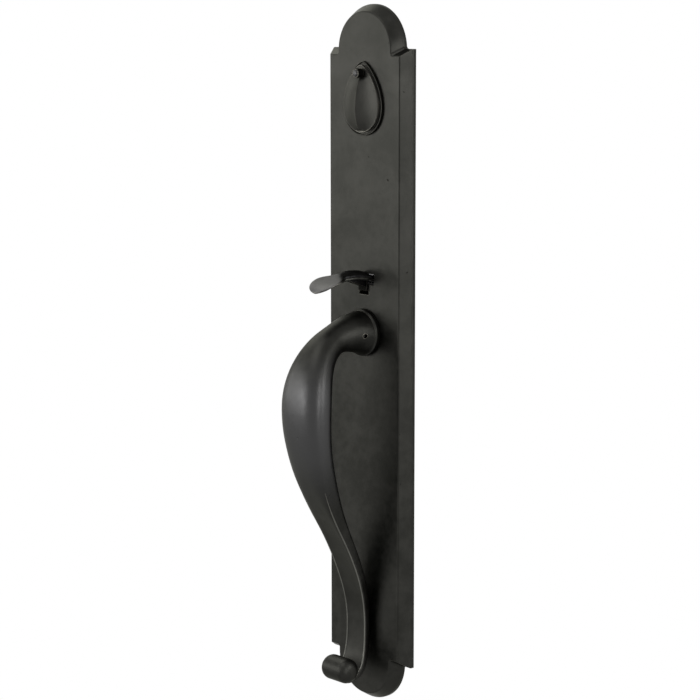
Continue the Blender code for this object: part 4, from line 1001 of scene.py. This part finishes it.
def make_screw(name, node, shank, head, tip, head_start, head_height, height):
    """A pan-head screw whose head faces the door's inside, threaded below the head."""
    centre = (0.0, 0.0, height)
    rings = threaded(shank, tip, head_start - 1.2, centre, 0.8, 0.28)
    sides = len(rings[0])
    top = head_start + head_height
    profile = rounded([(shank, head_start - 1.0), (shank, head_start), (head, head_start), (head, top - 0.7),
                       (head * 0.72, top), (head * 0.1, top)], 0.35, 3)
    rings += [circle(radius, along, centre, sides) for radius, along in profile]
    make_piece(name, "root", loft(rings), STEEL, node,
               cuts=cross_recess(height, top, head * 0.56, 1.3))


def make_fasteners():
    for place, height in zip(("upper", "lower"), SCREW_HEIGHTS):
        make_screw(place + "_bracket_screw_detail", place + "_bracket_screw", SCREW_RADIUS, SCREW_HEAD_RADIUS,
                   WALL_Y + 0.9, KEEPER_REAR_Y + FIT_GAP, SCREW_HEAD_HEIGHT, height)
        bore, front, rear = 2.2, -0.7, 13.0
        spacer = rounded([(bore, front + 1.2), (bore, front), (SPACER_RADIUS, front), (SPACER_RADIUS, rear),
                          (bore, rear), (bore, rear - 1.2)], 0.3, 3)
        shape = turned(spacer, (0.0, 0.0, height), ring_shaped=True)
        make_piece(place + "_bracket_spacer_sleeve", "root", shape, STEEL,
                   place + "_bracket_spacer")
    washer_start = WALL_Y + FIT_GAP
    make_screw("foot_screw_detail", "foot_screw", FOOT_SCREW_RADIUS, FOOT_SCREW_HEAD,
               STRAP_Y - ANKLE_HALF_DEPTH + 2.7, washer_start + FOOT_WASHER_THICKNESS + FIT_GAP,
               FOOT_SCREW_HEAD_HEIGHT, STRAP_Z)
    for name, node, inner, outer, thickness, height in (
            ("foot_washer_ring", "foot_washer", FOOT_HOLE_RADIUS, FOOT_WASHER_RADIUS,
             FOOT_WASHER_THICKNESS, STRAP_Z),
            ("grip_stud_washer_ring", "grip_stud_washer", STUD_HOLE_RADIUS, STUD_WASHER_RADIUS,
             STUD_WASHER_THICKNESS, GRIP_Z)):
        ring = rounded([(inner + 0.4, washer_start), (outer, washer_start), (outer, washer_start + thickness),
                        (inner, washer_start + thickness), (inner, washer_start),
                        (inner + 0.2, washer_start)], 0.25, 3)
        shape = turned(ring, (0.0, 0.0, height), ring_shaped=True)
        make_piece(name, "root", shape, STEEL, node)
    centre = (0.0, 0.0, GRIP_Z)
    stud = threaded(STUD_RADIUS, BELL_BACK_Y - STUD_DEPTH, WALL_Y + STUD_TAIL, centre, 1.25, 0.6)
    make_piece("grip_stud_thread", "root", loft(stud), STEEL, "grip_stud", sharp=60.0)
    nut_start = washer_start + STUD_WASHER_THICKNESS + FIT_GAP
    nut_end = nut_start + NUT_THICKNESS
    corner = NUT_HALF_WIDTH / math.cos(math.pi / 6.0)
    hexagon = rod(corner, nut_start, nut_end, centre, sides=6)
    chamfer = turned([(corner - 0.55, nut_start - 0.2), (corner + 0.45, nut_start + 0.5),
                      (corner + 0.45, nut_end - 0.5), (corner - 0.55, nut_end + 0.2)], centre)
    nut = raw_object("nut_blank", hexagon)
    limit = raw_object("nut_chamfer", chamfer)
    step = nut.modifiers.new("chamfer", "BOOLEAN")
    step.operation = "INTERSECT"
    step.solver = "EXACT"
    step.object = limit
    shape = shape_of(baked_mesh(nut))
    bpy.data.objects.remove(nut, do_unlink=True)
    bpy.data.objects.remove(limit, do_unlink=True)
    make_piece("grip_stud_hex_nut", "root", shape, STEEL, "grip_stud_nut",
               cuts=[rod(STUD_HOLE_RADIUS, nut_start - CUT_MARGIN, nut_end + CUT_MARGIN, centre, sides=48)],
               sharp=25.0)


def make_posts():
    """The mounting posts: an outside, then a threaded bore that runs back to a drilled point."""
    sides = 48
    shoulder = POST_BOSS_Y + FIT_GAP
    outer = [(POST_STUB_RADIUS, WALL_Y + FIT_GAP), (POST_STUB_RADIUS, shoulder), (POST_RADIUS, shoulder),
             (POST_RADIUS, POST_REACH - 0.4), (POST_RADIUS - 0.4, POST_REACH),
             (POST_BORE_RADIUS + 0.5, POST_REACH), (POST_BORE_RADIUS, POST_REACH - 0.5)]
    for place, height in zip(("upper", "lower"), POST_HEIGHTS):
        centre = (0.0, 0.0, height)
        rings = [circle(radius, along, centre, sides) for radius, along in outer]
        rings += reversed(threaded(POST_BORE_RADIUS, 11.0, 29.0, centre, 0.8, 0.25, sides))
        rings.append(circle(0.5, 8.6, centre, sides))
        make_piece(place + "_mounting_post_tapped", "root", loft(rings), STEEL,
                   place + "_mounting_post")


def make_spring():
    """The round-wire return spring, with ground ends."""
    wire = SPRING_WIRE
    base = LATCH_Z + CAM_ARM_HALF + FIT_GAP + wire
    rise = SPRING_LENGTH - 2.0 * wire
    per_turn = 32
    steps = SPRING_TURNS * per_turn
    rings = []
    for step in range(steps + 1):
        angle = 2.0 * math.pi * step / per_turn
        share = blend(0.0, 1.0, step / steps)
        height = base + rise * mix(step / steps, share, 0.55)
        ring = []
        for side in range(12):
            turn = 2.0 * math.pi * side / 12.0
            local = SPRING_RADIUS + wire * math.cos(turn)
            ring.append((SPRING_X + local * math.cos(angle), SPRING_Y + local * math.sin(angle),
                         height + wire * math.sin(turn)))
        rings.append(ring)
    spring = make_piece("thumb_return_spring_wire", "root", loft(rings), SPRING_STEEL,
                        "thumb_return_spring", sharp=60.0)
    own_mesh(spring)


# Light, stage and camera
def make_light(name, place, size, power):
    """A white rectangular lamp that faces the object."""
    data = bpy.data.lights.new(name, "AREA")
    data.shape = "RECTANGLE"
    data.size, data.size_y = size
    data.energy = power
    light = bpy.data.objects.new(name, data)
    bpy.context.scene.collection.objects.link(light)
    light.location = Vector(place)
    light.rotation_mode = "QUATERNION"
    light.rotation_quaternion = (Vector((0.0, 0.0, 0.0)) - Vector(place)).to_track_quat("-Z", "Y")


def sees_background(tree):
    """1 for the rays that show the background: the camera's own, and those through gloss and glass."""
    path = tree.nodes.new("ShaderNodeLightPath")
    mirrored = math_node(tree, "MAXIMUM", path.outputs["Is Glossy Ray"], path.outputs["Is Transmission Ray"])
    return math_node(tree, "MAXIMUM", path.outputs["Is Camera Ray"], mirrored)


def make_floor():
    """A pale floor: white where it is seen, but lit and shaded by the lamps below the object."""
    level = cad_box[0][2] / MM - FLOOR_GAP
    reach = FLOOR_REACH
    corners = [(-reach, -reach, level), (reach, -reach, level), (reach, reach, level), (-reach, reach, level)]
    floor = raw_object("studio_floor", (corners, [(0, 1, 2, 3)]))
    material, tree, shader = new_material("pale_floor")
    tree.nodes.remove(shader)
    white = coloured_node(tree, "ShaderNodeEmission", WHITE)
    pale = coloured_node(tree, "ShaderNodeBsdfDiffuse", FLOOR_PALE)
    away = tree.nodes.new("ShaderNodeVectorMath")
    away.operation = "LENGTH"
    tree.links.new(object_coords(tree, (1.0, 1.0, 0.0)), away.inputs[0])
    lit = remap(tree, away.outputs["Value"], 0.03, 0.22, 0.60, 1.0)
    near = mixed_shader(tree, lit, pale.outputs["BSDF"], white.outputs["Emission"])
    output = tree.nodes["Material Output"]
    grey = coloured_node(tree, "ShaderNodeBsdfDiffuse", FLOOR_UNSEEN)
    seen = mixed_shader(tree, sees_background(tree), grey.outputs["BSDF"], near)
    tree.links.new(seen, output.inputs["Surface"])
    floor.data.materials.append(material)


def make_world():
    """White where it is seen or mirrored, with soft light from above on everything else."""
    world = bpy.data.worlds.new("studio")
    bpy.context.scene.world = world
    world.use_nodes = True
    tree = world.node_tree
    tree.nodes.clear()
    coords = tree.nodes.new("ShaderNodeTexCoord")
    split = tree.nodes.new("ShaderNodeSeparateXYZ")
    tree.links.new(coords.outputs["Generated"], split.inputs["Vector"])
    strength = remap(tree, split.outputs["Z"], -0.15, 0.60, 0.05, 0.60, "LINEAR")
    soft = coloured_node(tree, "ShaderNodeBackground", WHITE)
    tree.links.new(strength, soft.inputs["Strength"])
    white = coloured_node(tree, "ShaderNodeBackground", WHITE)
    output = tree.nodes.new("ShaderNodeOutputWorld")
    seen = mixed_shader(tree, sees_background(tree), soft.outputs["Background"], white.outputs["Background"])
    tree.links.new(seen, output.inputs["Surface"])


def make_camera():
    """The camera at the photo's angle: azimuth from the front, elevation and roll."""
    azimuth, elevation, roll = (math.radians(angle) for angle in PHOTO_ANGLES)
    target = Vector(CAMERA_TARGET)
    direction = Vector((math.sin(azimuth) * math.cos(elevation), -math.cos(azimuth) * math.cos(elevation),
                        math.sin(elevation)))
    data = bpy.data.cameras.new("photo_camera")
    data.sensor_width = SENSOR_WIDTH
    data.lens = FOCAL_PIXELS / PHOTO_WIDTH * SENSOR_WIDTH
    data.clip_end = 30.0
    camera = bpy.data.objects.new("photo_camera", data)
    bpy.context.scene.collection.objects.link(camera)
    camera.location = target + direction * CAMERA_DISTANCE
    camera.rotation_mode = "QUATERNION"
    turn = Matrix.Rotation(roll, 3, "Z").to_quaternion()
    camera.rotation_quaternion = (target - camera.location).to_track_quat("-Z", "Y") @ turn
    bpy.context.scene.camera = camera


make_plate()
make_rose()
make_cover()
make_lever()
make_grip()
make_fasteners()
make_posts()
make_spring()
make_floor()
make_world()
for lamp in LAMPS:
    make_light(*lamp)
make_camera()
bpy.context.scene.view_settings.view_transform = "Standard"
